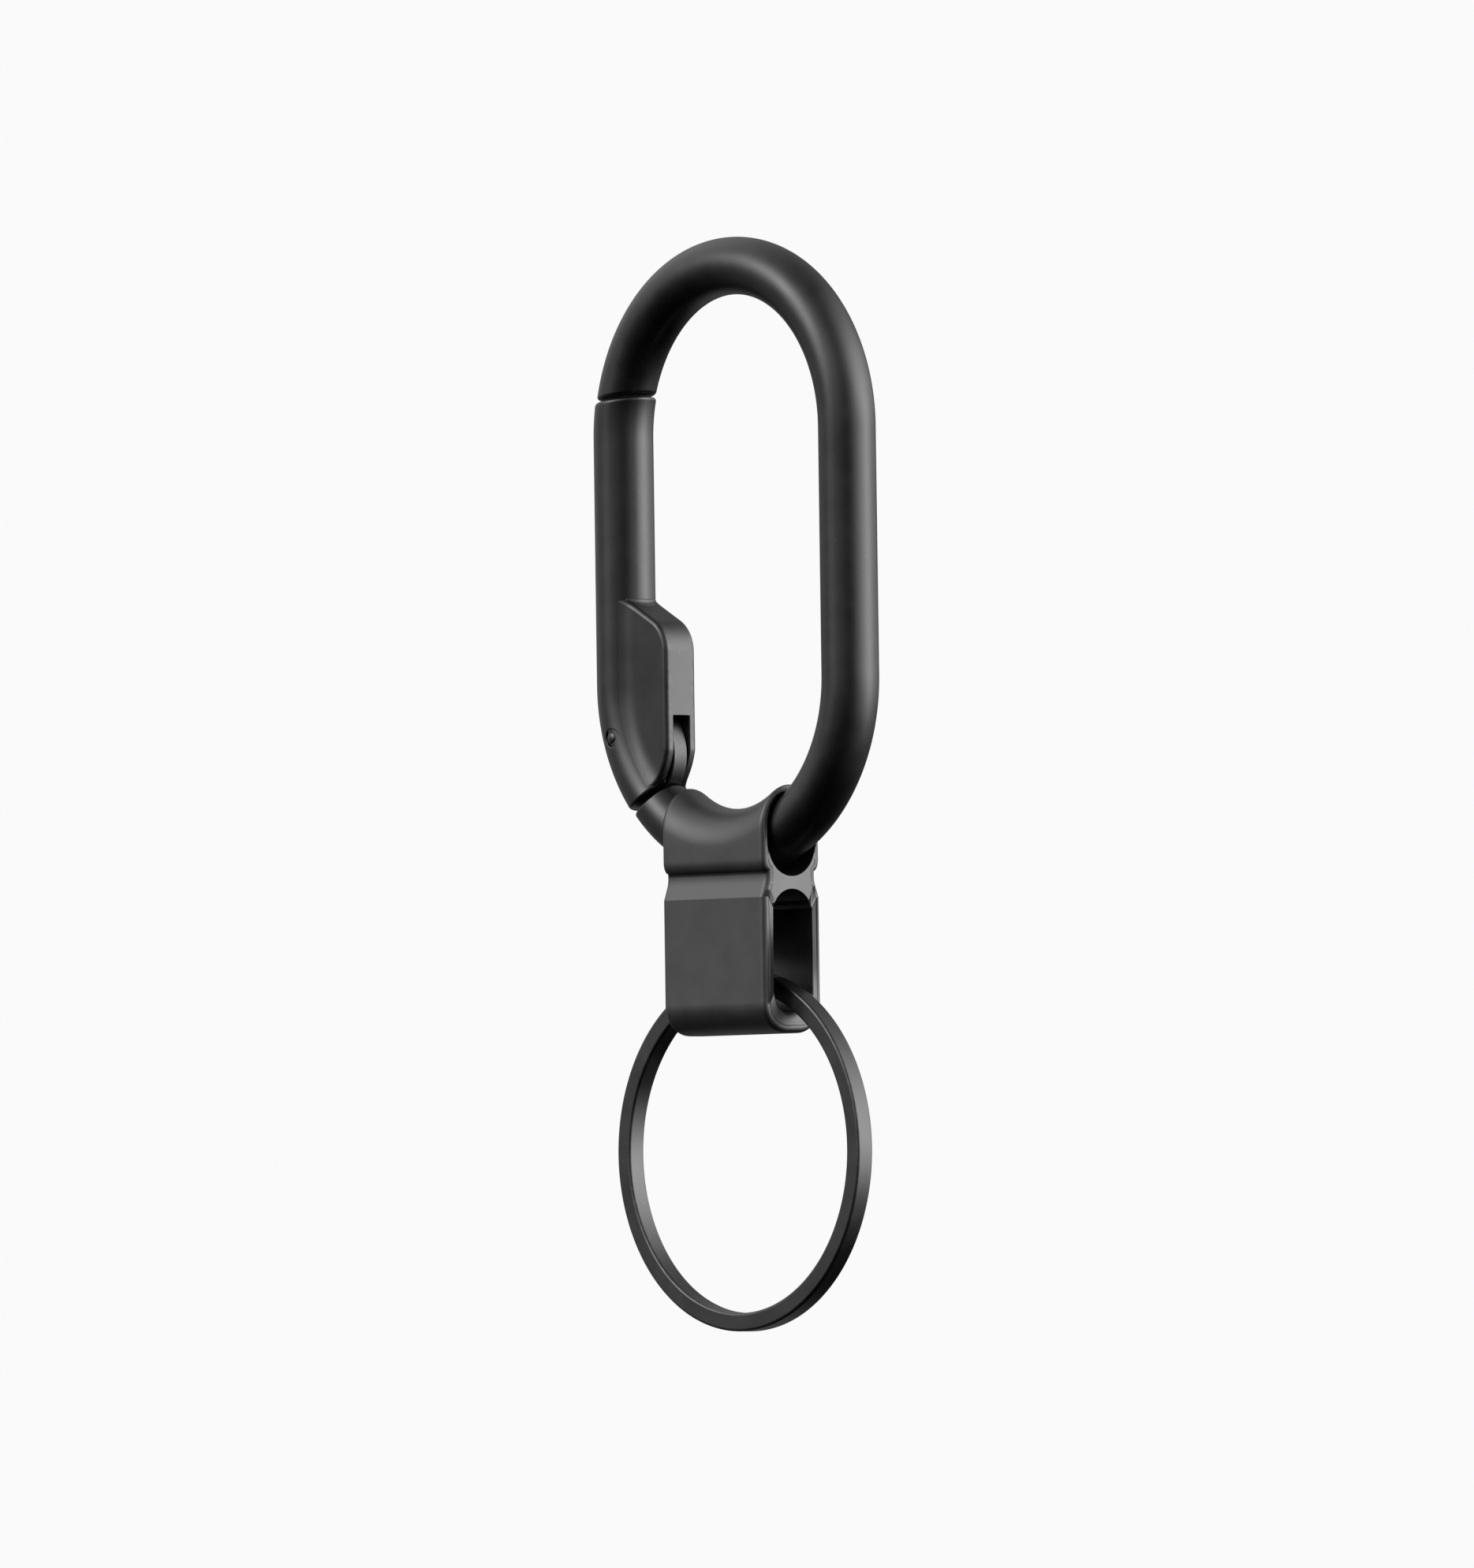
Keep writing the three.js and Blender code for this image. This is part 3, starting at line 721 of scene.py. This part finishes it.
class KEYRING_OT_gate(bpy.types.Operator):
    """Gate: round bar from the seam to its round lower end, with the thumb bulge and its slot"""

    bl_idname = "keyring.gate"
    bl_label = "Gate"

    def execute(self, context):
        sizes = context.scene.keyring_sizes
        bow = Bow(sizes)

        def foot(out, offset):
            return bow.gate_foot_length(out, sizes.gate_end - offset)

        def top(out, offset):
            return bow.seam_length(out, -sizes.seam_gap / 2 - offset)

        around = dense_around((-math.pi / 2, math.pi / 2), 0.55, 44, 80)
        foot_at = bow.gate_foot_length(0.0, sizes.gate_end)
        length = bow.seam_length(0.0, 0.0) - foot_at
        pin_at = -bow.straight - bow.bend * bow.pin_angle
        pin_share = (pin_at - foot_at) / length
        near = pin_share + np.linspace(-1.3, 1.3, 40) * MM / length
        even = np.linspace(0, 1, 110)
        beyond = np.abs(even - pin_share) > 1.35 * MM / length
        stations = np.sort(np.concatenate([even[beyond], near]))
        radius = bow.r + sizes.gate_swell
        foot_edge = 0.25 * MM
        skin = bar_skin(bow, radius, foot, foot_edge, top, sizes.seam_edge, stations, around)
        self.sink_pin_seats(skin, bow, sizes)
        self.bulge(skin, bow, sizes)
        skin.piece("gate_bar", bar_coating(), "gate", "gate", "gate_coating")
        return {"FINISHED"}

    def sink_pin_seats(self, skin, bow, sizes):
        """Sinks a cone round each end of the pin: depth falls from the middle to the seat's rim."""
        seat = 0.79 * MM
        deep = 0.45 * MM
        cone = 0.17 * MM
        rubbed = 0.06 * MM
        for points, worn in zip(skin.points, skin.wear):
            away = np.hypot(points[:, 0] - bow.pin[0], points[:, 2] - bow.pin[1])
            on_side = np.abs(points[:, 1]) > 0.75 * bow.r
            inside = (away < seat) & on_side
            fall = np.clip((seat - away) / cone, 0.0, 1.0)
            sink = deep * fall * fall * (3 - 2 * fall)
            points[:, 1] -= np.where(inside, np.sign(points[:, 1]) * sink, 0.0)
            rim = 0.5 * np.exp(-(((away - seat) / rubbed) ** 2)) * on_side
            worn[:] = np.maximum(worn, 0.8 * rim)

    def bulge(self, skin, bow, sizes):
        """Thumb bulge inside the bow: slope, round corner, straight inner face, round lower end."""
        reach = 6.05 * MM
        corner = 3.05 * MM
        slope = math.radians(28.5)
        corner_height = 8.9 * MM
        mouth = 1.78 * MM
        px, pz = bow.pin
        tangent = corner * math.tan((math.pi / 2 - slope) / 2)
        head = np.array([[0.0, corner_height + reach * math.tan(slope)]])
        corner_middle = (reach - corner, corner_height - tangent)
        round_corner = arc(corner_middle, corner, math.pi / 2 - slope, 0, 26)
        slope_line = head + (round_corner[:1] - head) * np.linspace(0, 1, 30)[:-1, None]
        foot_angle = math.acos(reach / sizes.gate_end)
        above = np.linspace(corner_height - tangent, mouth, 22)[1:-1]
        below = np.linspace(mouth, -sizes.gate_end * math.sin(foot_angle), 16)[:-1]
        lip = mouth + np.array([0.02, 0.0, -0.02, -0.06]) * MM
        inner_heights = np.concatenate([above, lip, below[1:]])
        inner = np.stack([np.full(len(inner_heights), reach), inner_heights], axis=1)
        foot_line = arc((0, 0), sizes.gate_end - 5e-6, -foot_angle, -math.radians(74), 44)
        outline = np.concatenate([slope_line, round_corner, inner, foot_line])
        first_cut = len(slope_line) + len(round_corner) + len(above) + 2
        share = np.linspace(0, 1, len(outline))[:, None]
        top = np.array([-0.6 * MM, 10.6 * MM])
        bend = np.array([-0.35 * MM, 0.0])
        last = np.array([1.9 * MM, -4.6 * MM])
        before, after = 0.72, 0.28
        back = top + (bend - top) * np.minimum(share / before, 1)
        back = back + (last - bend) * np.maximum((share - before) / after, 0)
        shift = np.array([px, pz])
        tongue_gap = 0.125 * MM
        slot_share = 0.6
        slot = (sizes.tongue / 2 + tongue_gap, first_cut, len(outline), slot_share)
        half = sizes.bulge / 2
        radius = bow.r + sizes.gate_swell
        sweep = 3.0 * MM
        meet = math.sqrt((radius + sweep) ** 2 - (half + sweep) ** 2)
        leave = meet * radius / (radius + sweep)

        def flare(x, z):
            """How much wider the plate is where it leaves the bar: a concave arc of radius sweep."""
            inward = np.where(z > bow.lower, x + bow.bend, bow.bend - np.hypot(x, z - bow.lower))
            on_arc = half + sweep - np.sqrt(np.maximum(sweep**2 - (meet - inward) ** 2, 0.0))
            on_bar = np.sqrt(np.maximum(radius**2 - inward**2, 0.0)) - 0.01 * MM
            wide = np.where(inward > meet, half, np.where(inward > leave, on_arc, on_bar))
            return wide / half

        plate_skin(skin, outline + shift, back + shift, half, sizes.bulge_edge, slot, flare)
        root_height = head[0, 1] + pz + (px + bow.bend) * math.tan(slope)
        self.slope_root(skin, bow, radius, half, root_height, slope)

    def slope_root(self, skin, bow, radius, half, height, slope):
        """Concave round where the bulge's slope leaves the bar.

        At each depth y the bar's side stands at sqrt(radius^2 - y^2). The arc touches that side and
        the slope, and its radius dies out towards both cheeks.
        """
        y = np.linspace(-0.97, 0.97, 33)[:, None] * half
        largest = 0.62 * MM
        size = largest * np.sqrt(1 - (y / half) ** 2)
        side = np.sqrt(radius**2 - y**2)
        turn = np.linspace(math.pi, 1.5 * math.pi - slope, 9)[None, :]
        across = side + size
        level = height - across * math.tan(slope) + size / math.cos(slope)
        x = across + size * np.cos(turn)
        z = level + size * np.sin(turn)
        under = 0.25 * MM
        x = np.concatenate([x, side - under], axis=1)
        z = np.concatenate([z, height - side * math.tan(slope) - under], axis=1)
        points = np.stack([x - bow.bend, y + 0 * x, z], axis=-1)
        skin.grid(points)
        for row in (0, -1):
            middle = points[row].mean(axis=0)
            skin.grid(np.stack([points[row], np.broadcast_to(middle, points[row].shape)]))


class KEYRING_OT_pivot_pin(bpy.types.Operator):
    """Pivot pin of the gate with a domed head at each end"""

    bl_idname = "keyring.pivot_pin"
    bl_label = "Pivot Pin"

    def execute(self, context):
        sizes = context.scene.keyring_sizes
        bow = Bow(sizes)
        radius = sizes.pin / 2
        head = 0.26 * MM
        proud = 0.09 * MM
        end = bow.r + sizes.gate_swell - head + proud
        angle = np.linspace(0, math.pi / 2, 14)
        width = np.concatenate([radius * np.sin(angle), radius * np.sin(angle[::-1])])
        dome = head * np.cos(angle)
        height = np.concatenate([-end - dome, end + dome[::-1]])
        turn = np.linspace(0, 2 * math.pi, 64, endpoint=False)
        points = np.stack([
            bow.pin[0] + width[:, None] * np.cos(turn),
            height[:, None] + 0 * turn,
            bow.pin[1] + width[:, None] * np.sin(turn),
        ], axis=-1)
        skin = Skin()
        worn = np.linspace(0.1, 0.7, 14)
        skin.grid(points, np.concatenate([worn, worn[::-1]])[:, None])
        colour = context.scene.keyring_colours.bar_black
        coating = black_coating("pin black coating", colour, 0.32, 9000.0, 2e-6, 0.35)
        skin.piece("gate_pin", coating, "gate", "pivot_pin", "pin_coating")
        return {"FINISHED"}


class KEYRING_OT_spring_and_plunger(bpy.types.Operator):
    """Coil spring and round-tipped plunger in the thumb bulge, kept as the frame has them"""

    bl_idname = "keyring.spring_and_plunger"
    bl_label = "Spring and Plunger"

    def execute(self, context):
        steel = context.scene.keyring_colours.bare_steel
        spring = drawn_steel("spring steel", steel, 0.28)
        plunger = drawn_steel("plunger steel", steel, 0.36)
        frame["nodes"]["gate_spring"].material_slots[0].material = spring
        frame["nodes"]["spring_plunger"].material_slots[0].material = plunger
        return {"FINISHED"}


class KEYRING_OT_swivel_block(bpy.types.Operator):
    """Swivel block: a saddle round the bar, a groove and a flat-sided body with a long slot"""

    bl_idname = "keyring.swivel_block"
    bl_label = "Swivel Block"

    def execute(self, context):
        sizes = context.scene.keyring_sizes
        self.bow = Bow(sizes)
        self.half_width = sizes.block_width / 2
        self.half_depth = sizes.block_depth / 2
        self.floor = BLOCK_LOW[2]
        self.axis = self.bow.lower - self.bow.bend
        self.bore = self.bow.r + BORE_GAP
        self.groove = self.axis - self.bow.r - GROOVE_DROP
        self.slot_top = self.axis - self.bow.r - SLOT_DROP
        self.slot_low = self.slot_top - SLOT_LENGTH
        self.web = (self.axis - self.bore + self.slot_top) / 2
        skin = Skin()
        self.outside(skin)
        self.ends(skin)
        colour = context.scene.keyring_colours.block_black
        coating = black_coating("block matte coating", colour, 0.47, 7600.0, 9e-6, 0.10)
        skin.piece("block_body", coating, "block", "swivel_block", "block_coating")
        return {"FINISHED"}

    def tube_line(self, radius, angle, x):
        """Section of the tube round the lower bow by the plane at x, at the tube's own angles.

        Depth is radius sin a, and height is the bow's centre less
        sqrt((bend + radius cos a)^2 - x^2).
        """
        y = radius * np.sin(angle) + 0 * x
        z = self.bow.lower - np.sqrt((self.bow.bend + radius * np.cos(angle)) ** 2 - x**2)
        return y, z

    def half_outline(self, x):
        """One side of the block's section at x, from the top of the saddle to the floor's middle.

        The saddle is the tube's line down to its side. Below it the side is upright, narrows to the
        groove as a quarter ellipse, and then follows the groove, slope, flat side and round floor.
        """
        head = self.bow.r + SADDLE_WALL
        neck = self.half_depth - GROOVE_DEPTH
        angle = np.linspace(math.pi, math.pi / 2, 26)[None, :]
        top_y, top_z = self.tube_line(head, angle, x)
        low = self.groove + NECK_RISE
        fall = np.linspace(0, 1, 16)[None, 1:]
        turn_z = low + NECK_TURN
        down_z = top_z[:, -1:] + (turn_z - top_z[:, -1:]) * np.array([[0.35, 0.7, 0.97]])
        round_z = low + NECK_TURN * (1 - np.sin(fall * math.pi / 2)) + 0 * x
        side_z = np.concatenate([down_z, round_z], axis=1)
        side_y = neck + (head - neck) * np.cos(fall * math.pi / 2) + 0 * x
        side_y = np.concatenate([head + 0 * down_z, side_y], axis=1)
        lower = rounded(
            [
                (neck, low + 0.02 * MM),
                (neck, self.groove - 0.15 * MM),
                (self.half_depth, self.groove - CREASE_DROP),
                (self.half_depth, self.floor),
                (0.0, self.floor),
            ],
            [0, 2.4 * MM, 0.20 * MM, FLOOR_RADIUS, 0], steps=14, closed=False)[1:-1]
        flat = np.linspace(1, 0, 7)[1:, None] * lower[-1:, 0:1]
        lower = np.concatenate([lower, np.concatenate([flat, 0 * flat + self.floor], axis=1)])
        lower_y, lower_z = (np.broadcast_to(values, (len(x), len(lower))) for values in lower.T)
        y = np.concatenate([top_y, side_y, lower_y], axis=1)
        z = np.concatenate([top_z, side_z, lower_z], axis=1)
        return y, z

    def loop(self, x, inset):
        """Closed section at each x, moved inwards by inset along its normals.

        The normals are first averaged over a short stretch of the outline, so that its tight
        outer corners don't fold over themselves when they move in.
        """
        y, z = self.half_outline(x)
        y = np.concatenate([y, -y[:, -2:0:-1]], axis=1)
        z = np.concatenate([z, z[:, -2:0:-1]], axis=1)
        run_y = np.roll(y, -1, axis=1) - np.roll(y, 1, axis=1)
        run_z = np.roll(z, -1, axis=1) - np.roll(z, 1, axis=1)
        step = np.hypot(run_y, run_z)
        along = np.cumsum(step / 2, axis=1)
        softened = []
        for part in (run_z / step, -run_y / step):
            rows = []
            for place, values in zip(along, part):
                length = place[-1]
                apart = np.abs(place[:, None] - place[None, :])
                apart = np.minimum(apart, length - apart)
                near = np.exp(-((apart / (0.45 * MM)) ** 2)) * np.gradient(place)[None, :]
                rows.append(near @ values / near.sum(axis=1))
            softened.append(np.array(rows))
        size = np.hypot(*softened)
        return y + inset * softened[0] / size, z + inset * softened[1] / size

    def outside(self, skin):
        """Outer surface: the section along the block, moved in by edge * (1 - cos) at each end."""
        edge = BLOCK_EDGE
        run, drop = quarter(8)
        x_end = self.half_width - edge * drop
        inset = edge * run
        middle = np.linspace(-1, 1, 61)[1:-1] * (self.half_width - (1 + FLAT_HOLD) * edge)
        x = np.concatenate([-x_end[::-1], middle, x_end])[:, None]
        inset = np.concatenate([inset[::-1], np.zeros(len(middle)), inset])[:, None]
        worn = np.sin(np.pi * inset / edge)
        y, z = self.loop(x, inset)
        skin.grid(np.stack([x + 0 * y, y, z], axis=-1), worn)
        self.end_loop = (y[-1], z[-1])

    def hole_middle(self, kind):
        """Height of the bore's axis, or of the slot's middle."""
        return self.axis if kind == "bore" else (self.slot_top + self.slot_low) / 2

    def hole(self, kind, angle, x):
        """Distance to the bore's or the slot's wall at x, in the given directions from its middle.

        The outline is first laid down closely and its distance then read off by direction. The
        bore's distance is the largest over the block's turns on the bar, so that it swings freely.
        """
        if kind == "bore":
            up = np.linspace(math.pi / 2, 3 * math.pi / 2, 90)[None, :]
            top_y, top_z = self.tube_line(self.bore, up, x)
            down = np.linspace(-math.pi / 2, math.pi / 2, 60)[None, :]
            low_y = self.bore * np.sin(down) + 0 * x
            low_z = self.axis - self.bore * np.cos(down) + 0 * x
        else:
            r = SLOT_RADIUS
            up = np.linspace(0, math.pi, 90)[None, :]
            top_y = r * np.cos(up) + 0 * x
            top_z = self.slot_top - r + r * np.sin(up) + 0 * x
            low_y = -top_y
            low_z = self.slot_low + r - r * np.sin(up) + 0 * x
        centre = self.hole_middle(kind)
        y = np.concatenate([top_y, low_y], axis=1)
        z = np.concatenate([top_z, low_z], axis=1)
        bearing = np.arctan2(z - centre, y)
        away = np.hypot(y, z - centre)
        order = np.argsort(bearing, axis=1)
        bearing = np.take_along_axis(bearing, order, axis=1)
        away = np.take_along_axis(away, order, axis=1)
        swing = np.radians(np.linspace(-BLOCK_SWING, BLOCK_SWING, 9))
        turns = swing if kind == "bore" else [0.0]
        distance = [
            [np.interp(angle - turn, b, a, period=2 * math.pi) for b, a in zip(bearing, away)]
            for turn in turns
        ]
        return np.max(distance, axis=0)

    def tunnel(self, skin, kind, outer_y, outer_z):
        """A hole through the block with rounded mouths, and the end faces round it."""
        centre = self.hole_middle(kind)
        angle = np.arctan2(outer_z - centre, outer_y)
        lip = np.full_like(angle, 0.06 * MM)
        if kind == "slot":
            lip += 0.80 * MM * np.clip((-0.78 - np.sin(angle)) / 0.21, 0.0, 1.0) ** 1.5
        run, drop = quarter(9)
        mouth_x = self.half_width - lip * drop[:, None]
        middle = np.linspace(-1, 1, 31)[1:-1, None] * (self.half_width - (1 + FLAT_HOLD) * lip)
        x = np.concatenate([-mouth_x[::-1], middle, mouth_x])
        sideways = lip * run[:, None]
        flare = np.concatenate([sideways[::-1], 0 * middle, sideways])
        stations = x[:, :1] if kind == "bore" else 0 * x[:, :1]
        distance = self.hole(kind, angle, stations) + flare
        y = distance * np.cos(angle)
        z = centre + distance * np.sin(angle)
        skin.grid(np.stack([x + 0 * y, y, z], axis=-1), 0.5 * np.sin(np.pi * flare / lip))
        for side in (-1, 1):
            self.end_face(skin, side, outer_y, outer_z, y[-1], z[-1])

    def end_face(self, skin, side, outer_y, outer_z, inner_y, inner_z):
        """Flat end between a hole's mouth and the block's edge, with a fine line near the edge."""
        gap = np.hypot(outer_y - inner_y, outer_z - inner_z)
        near_edge = np.array([0.0, 0.02, 0.09, 0.11, 0.14, 0.16, 0.18, 0.22]) * MM
        depth = np.array([0.0, 0.0, 0.0, 0.035, 0.035, 0.0, 0.0, 0.0]) * MM
        open_side = np.where(np.abs(outer_z - self.web) < 1e-9, 0.0, 1.0)
        share = np.minimum(near_edge[:, None] / gap, 0.5 + 0.05 * np.arange(8)[:, None])
        near_hole = np.maximum(1.0 - np.array([0.03, 0.012])[:, None] * MM / gap, share[-1:])
        share = np.concatenate([share, near_hole, np.ones((1, len(gap)))])
        sink = np.concatenate([depth, np.zeros(3)])[:, None] * open_side
        sink = sink * np.clip((gap - 0.30 * MM) / (0.10 * MM), 0.0, 1.0)
        y = outer_y + (inner_y - outer_y) * share
        z = outer_z + (inner_z - outer_z) * share
        x = side * (self.half_width - sink)
        skin.grid(np.stack([x + 0 * y, y, z], axis=-1))

    def ends(self, skin):
        """Splits the end outline at the web between bore and slot, and closes each part."""
        y, z = self.end_loop
        upper = z > self.web
        half = len(y) // 2
        first = int(np.argmin(upper[:half]))
        crossing = np.interp(-self.web, -z[first - 1: first + 1], y[first - 1: first + 1])
        steps = np.linspace(1, -1, 41)
        right_y, right_z = y[:first], z[:first]
        left_y, left_z = -right_y[:0:-1], right_z[:0:-1]
        top_y = np.concatenate([right_y, crossing * steps, left_y])
        top_z = np.concatenate([right_z, np.full(len(steps), self.web), left_z])
        self.tunnel(skin, "bore", top_y, top_z)
        low_y = np.concatenate([crossing * steps[::-1], y[first: len(y) - first + 1]])
        low_z = np.concatenate([np.full(len(steps), self.web), z[first: len(z) - first + 1]])
        self.tunnel(skin, "slot", low_y, low_z)


class KEYRING_OT_key_ring(bpy.types.Operator):
    """Key ring: one turn of square wire whose two ends are lapped side by side in the slot"""

    bl_idname = "keyring.key_ring"
    bl_label = "Key Ring"

    def execute(self, context):
        sizes = context.scene.keyring_sizes
        outer = sizes.ring / 2
        mean = outer - sizes.ring_height / 2
        centre = RING_LOW[2] + outer
        half_lap = 3.9 * MM
        lap = math.asin(half_lap / mean)
        gap = 0.12 * MM
        high, deep = sizes.ring_height / 2, sizes.ring_depth / 2
        full = self.section(-deep, deep, high)
        front = self.section(-deep, -gap / 2, high)
        rear = self.section(gap / 2, deep, high)
        slit = gap / mean
        spans = [
            (-lap + slit, lap, 14, front),
            (lap, 2 * math.pi - lap, 260, full),
            (2 * math.pi - lap, 2 * math.pi + lap - slit, 14, rear),
        ]
        turns = np.concatenate([np.linspace(a, b, n) for a, b, n, _ in spans])
        sections = np.concatenate([np.broadcast_to(s, (n, *s.shape)) for _, _, n, s in spans])
        points = self.around(turns, sections, mean, centre)
        skin = Skin()
        corner = np.tile(np.array([0.0, 0.3, 0.9, 1.0, 0.9, 0.3, 0.0]), 4)
        skin.grid(points, corner)
        for turn, section in ((turns[0], front), (turns[-1], rear)):
            middle = np.broadcast_to(section.mean(axis=0), section.shape)
            skin.grid(self.around(np.array([turn, turn]), np.stack([section, middle]), mean, centre))
        colour = context.scene.keyring_colours.ring_black
        coating = black_coating("ring black coating", colour, 0.36, 9000.0, 3e-6, 0.16)
        skin.piece("ring_wire", coating, "ring", "key_ring", "ring_coating")
        return {"FINISHED"}

    def section(self, low, high, half_height):
        """Rounded rectangle of the wire, as (radial, sideways)."""
        edge = 0.22 * MM
        inner, outer = -half_height, half_height
        corners = [(inner, low), (outer, low), (outer, high), (inner, high)]
        return rounded(corners, [edge] * 4, steps=5, hold=3e-5)

    def around(self, turns, sections, mean, centre):
        """Carries the sections round the ring: radius is mean + radial, turned from the top."""
        radius = mean + sections[..., 0]
        x = radius * np.sin(turns)[:, None]
        z = centre + radius * np.cos(turns)[:, None]
        return np.stack([x, sections[..., 1], z], axis=-1)


# ---- Stage ----


class KEYRING_OT_stage(bpy.types.Operator):
    """Pale floor, soft studio lights and the camera"""

    bl_idname = "keyring.stage"
    bl_label = "Stage"

    def execute(self, context):
        right, up, back = self.camera(context)
        self.room(context, right, up, back)
        self.floor(context)
        return {"FINISHED"}

    def room(self, context, right, up, back):
        """Pale paper behind the keyring for the camera, and soft panels round it for other rays.

        A panel's brightness falls off from its middle as exp(sharpness * (cos(angle) - 1)).
        """
        world = bpy.data.worlds.new("Studio")
        context.scene.world = world
        world.use_nodes = True
        tree = world.node_tree
        paper = tree.nodes["Background"]
        paper.inputs["Color"].default_value = (*context.scene.keyring_colours.backdrop, 1.0)
        panels = tree.nodes.new("ShaderNodeBackground")
        towards = tree.nodes.new("ShaderNodeTexCoord")
        total = None
        for turn, height, sharpness, brightness in SOFT_PANELS:
            turn, height = math.radians(turn), math.radians(height)
            aim = math.cos(height) * (math.sin(turn) * right + math.cos(turn) * back)
            aim += math.sin(height) * up
            cosine = tree.nodes.new("ShaderNodeVectorMath")
            cosine.operation = "DOT_PRODUCT"
            cosine.inputs[1].default_value = aim
            tree.links.new(towards.outputs["Generated"], cosine.inputs[0])
            fall = self.sum_node(tree, "MULTIPLY_ADD", cosine.outputs["Value"], sharpness, -sharpness)
            glow = self.sum_node(tree, "EXPONENT", fall.outputs["Value"])
            level = self.sum_node(tree, "MULTIPLY", glow.outputs["Value"], brightness)
            if total is None:
                total = level
            else:
                both = self.sum_node(tree, "ADD", level.outputs["Value"])
                tree.links.new(total.outputs["Value"], both.inputs[1])
                total = both
        tree.links.new(total.outputs["Value"], panels.inputs["Strength"])
        ray = tree.nodes.new("ShaderNodeLightPath")
        pick = tree.nodes.new("ShaderNodeMixShader")
        tree.links.new(ray.outputs["Is Camera Ray"], pick.inputs["Fac"])
        tree.links.new(panels.outputs["Background"], pick.inputs[1])
        tree.links.new(paper.outputs["Background"], pick.inputs[2])
        tree.links.new(pick.outputs["Shader"], tree.nodes["World Output"].inputs["Surface"])
        context.scene.view_settings.view_transform = "Standard"

    def sum_node(self, tree, operation, source, *values):
        """A math node that reads source first and has plain values on its other inputs."""
        node = tree.nodes.new("ShaderNodeMath")
        node.operation = operation
        tree.links.new(source, node.inputs[0])
        for socket, value in zip(node.inputs[1:], values):
            socket.default_value = value
        return node

    def floor(self, context):
        """Pale floor: a flat grid 4 m wide, 50 mm under the ring's lowest point."""
        side = np.linspace(-1.0, 1.0, 3) * 2.0
        x, y = np.meshgrid(side, side)
        height = CAD_BOUNDS[0][2] - 0.05
        points = np.stack([x, y, np.full_like(x, height)], axis=-1)
        mesh = bpy.data.meshes.new("floor")
        mesh.from_pydata(points.reshape(-1, 3).tolist(), [], quads(3, 3, False).tolist())
        material = bpy.data.materials.new("floor paper")
        material.use_nodes = True
        shader = material.node_tree.nodes["Principled BSDF"]
        shader.inputs["Base Color"].default_value = (0.8, 0.8, 0.8, 1.0)
        shader.inputs["Roughness"].default_value = 0.9
        mesh.materials.append(material)
        floor = bpy.data.objects.new("floor", mesh)
        floor.visible_glossy = False
        floor.visible_diffuse = False
        context.scene.collection.objects.link(floor)

    def camera(self, context):
        """A long lens turned round the keyring and a little below it, and its three directions."""
        bow = Bow(context.scene.keyring_sizes)
        turn, tilt, roll = (math.radians(angle) for angle in CAMERA_ANGLES)
        distance = 2.5
        view_height = 130.4 * MM
        aside, below = 0.05, 18.93
        flat = math.cos(tilt)
        back = Vector((math.sin(turn) * flat, -math.cos(turn) * flat, math.sin(tilt)))
        level = Vector((math.cos(turn), math.sin(turn), 0.0))
        rise = back.cross(level)
        right = level * math.cos(roll) + rise * math.sin(roll)
        up = rise * math.cos(roll) - level * math.sin(roll)
        middle = Vector((0.0, 0.0, (bow.upper + bow.lower) / 2))
        aim = middle + right * aside * MM - up * below * MM
        data = bpy.data.cameras.new("camera")
        data.sensor_fit = "VERTICAL"
        data.sensor_height = 36.0
        data.lens = data.sensor_height * distance / view_height
        data.clip_start = 0.05
        data.clip_end = 50.0
        camera = bpy.data.objects.new("camera", data)
        turn_matrix = Matrix((right, up, back)).transposed().to_4x4()
        camera.matrix_world = Matrix.Translation(aim + back * distance) @ turn_matrix
        context.scene.collection.objects.link(camera)
        context.scene.camera = camera
        return right, up, back


class KEYRING_PT_panel(bpy.types.Panel):
    """Builds the keyring's pieces one by one"""

    bl_idname = "KEYRING_PT_panel"
    bl_label = "Carabiner Keyring"
    bl_space_type = "VIEW_3D"
    bl_region_type = "UI"
    bl_category = "Keyring"

    def draw(self, context):
        column = self.layout.column()
        for group in (context.scene.keyring_sizes, context.scene.keyring_colours):
            for name in group.__annotations__:
                column.prop(group, name)
        for operator in OPERATORS:
            column.operator(operator.bl_idname)


OPERATORS = (
    KEYRING_OT_frame_bar,
    KEYRING_OT_gate,
    KEYRING_OT_pivot_pin,
    KEYRING_OT_spring_and_plunger,
    KEYRING_OT_swivel_block,
    KEYRING_OT_key_ring,
    KEYRING_OT_stage,
)
CLASSES = (KeyringSizes, KeyringColours, *OPERATORS, KEYRING_PT_panel)


def register():
    for cls in CLASSES:
        bpy.utils.register_class(cls)
    bpy.types.Scene.keyring_sizes = PointerProperty(type=KeyringSizes)
    bpy.types.Scene.keyring_colours = PointerProperty(type=KeyringColours)


def unregister():
    del bpy.types.Scene.keyring_colours
    del bpy.types.Scene.keyring_sizes
    for cls in reversed(CLASSES):
        bpy.utils.unregister_class(cls)


def main():
    register()
    bpy.ops.keyring.frame_bar()
    bpy.ops.keyring.gate()
    bpy.ops.keyring.pivot_pin()
    bpy.ops.keyring.spring_and_plunger()
    bpy.ops.keyring.swivel_block()
    bpy.ops.keyring.key_ring()
    bpy.ops.keyring.stage()


if __name__ == "__main__":
    main()
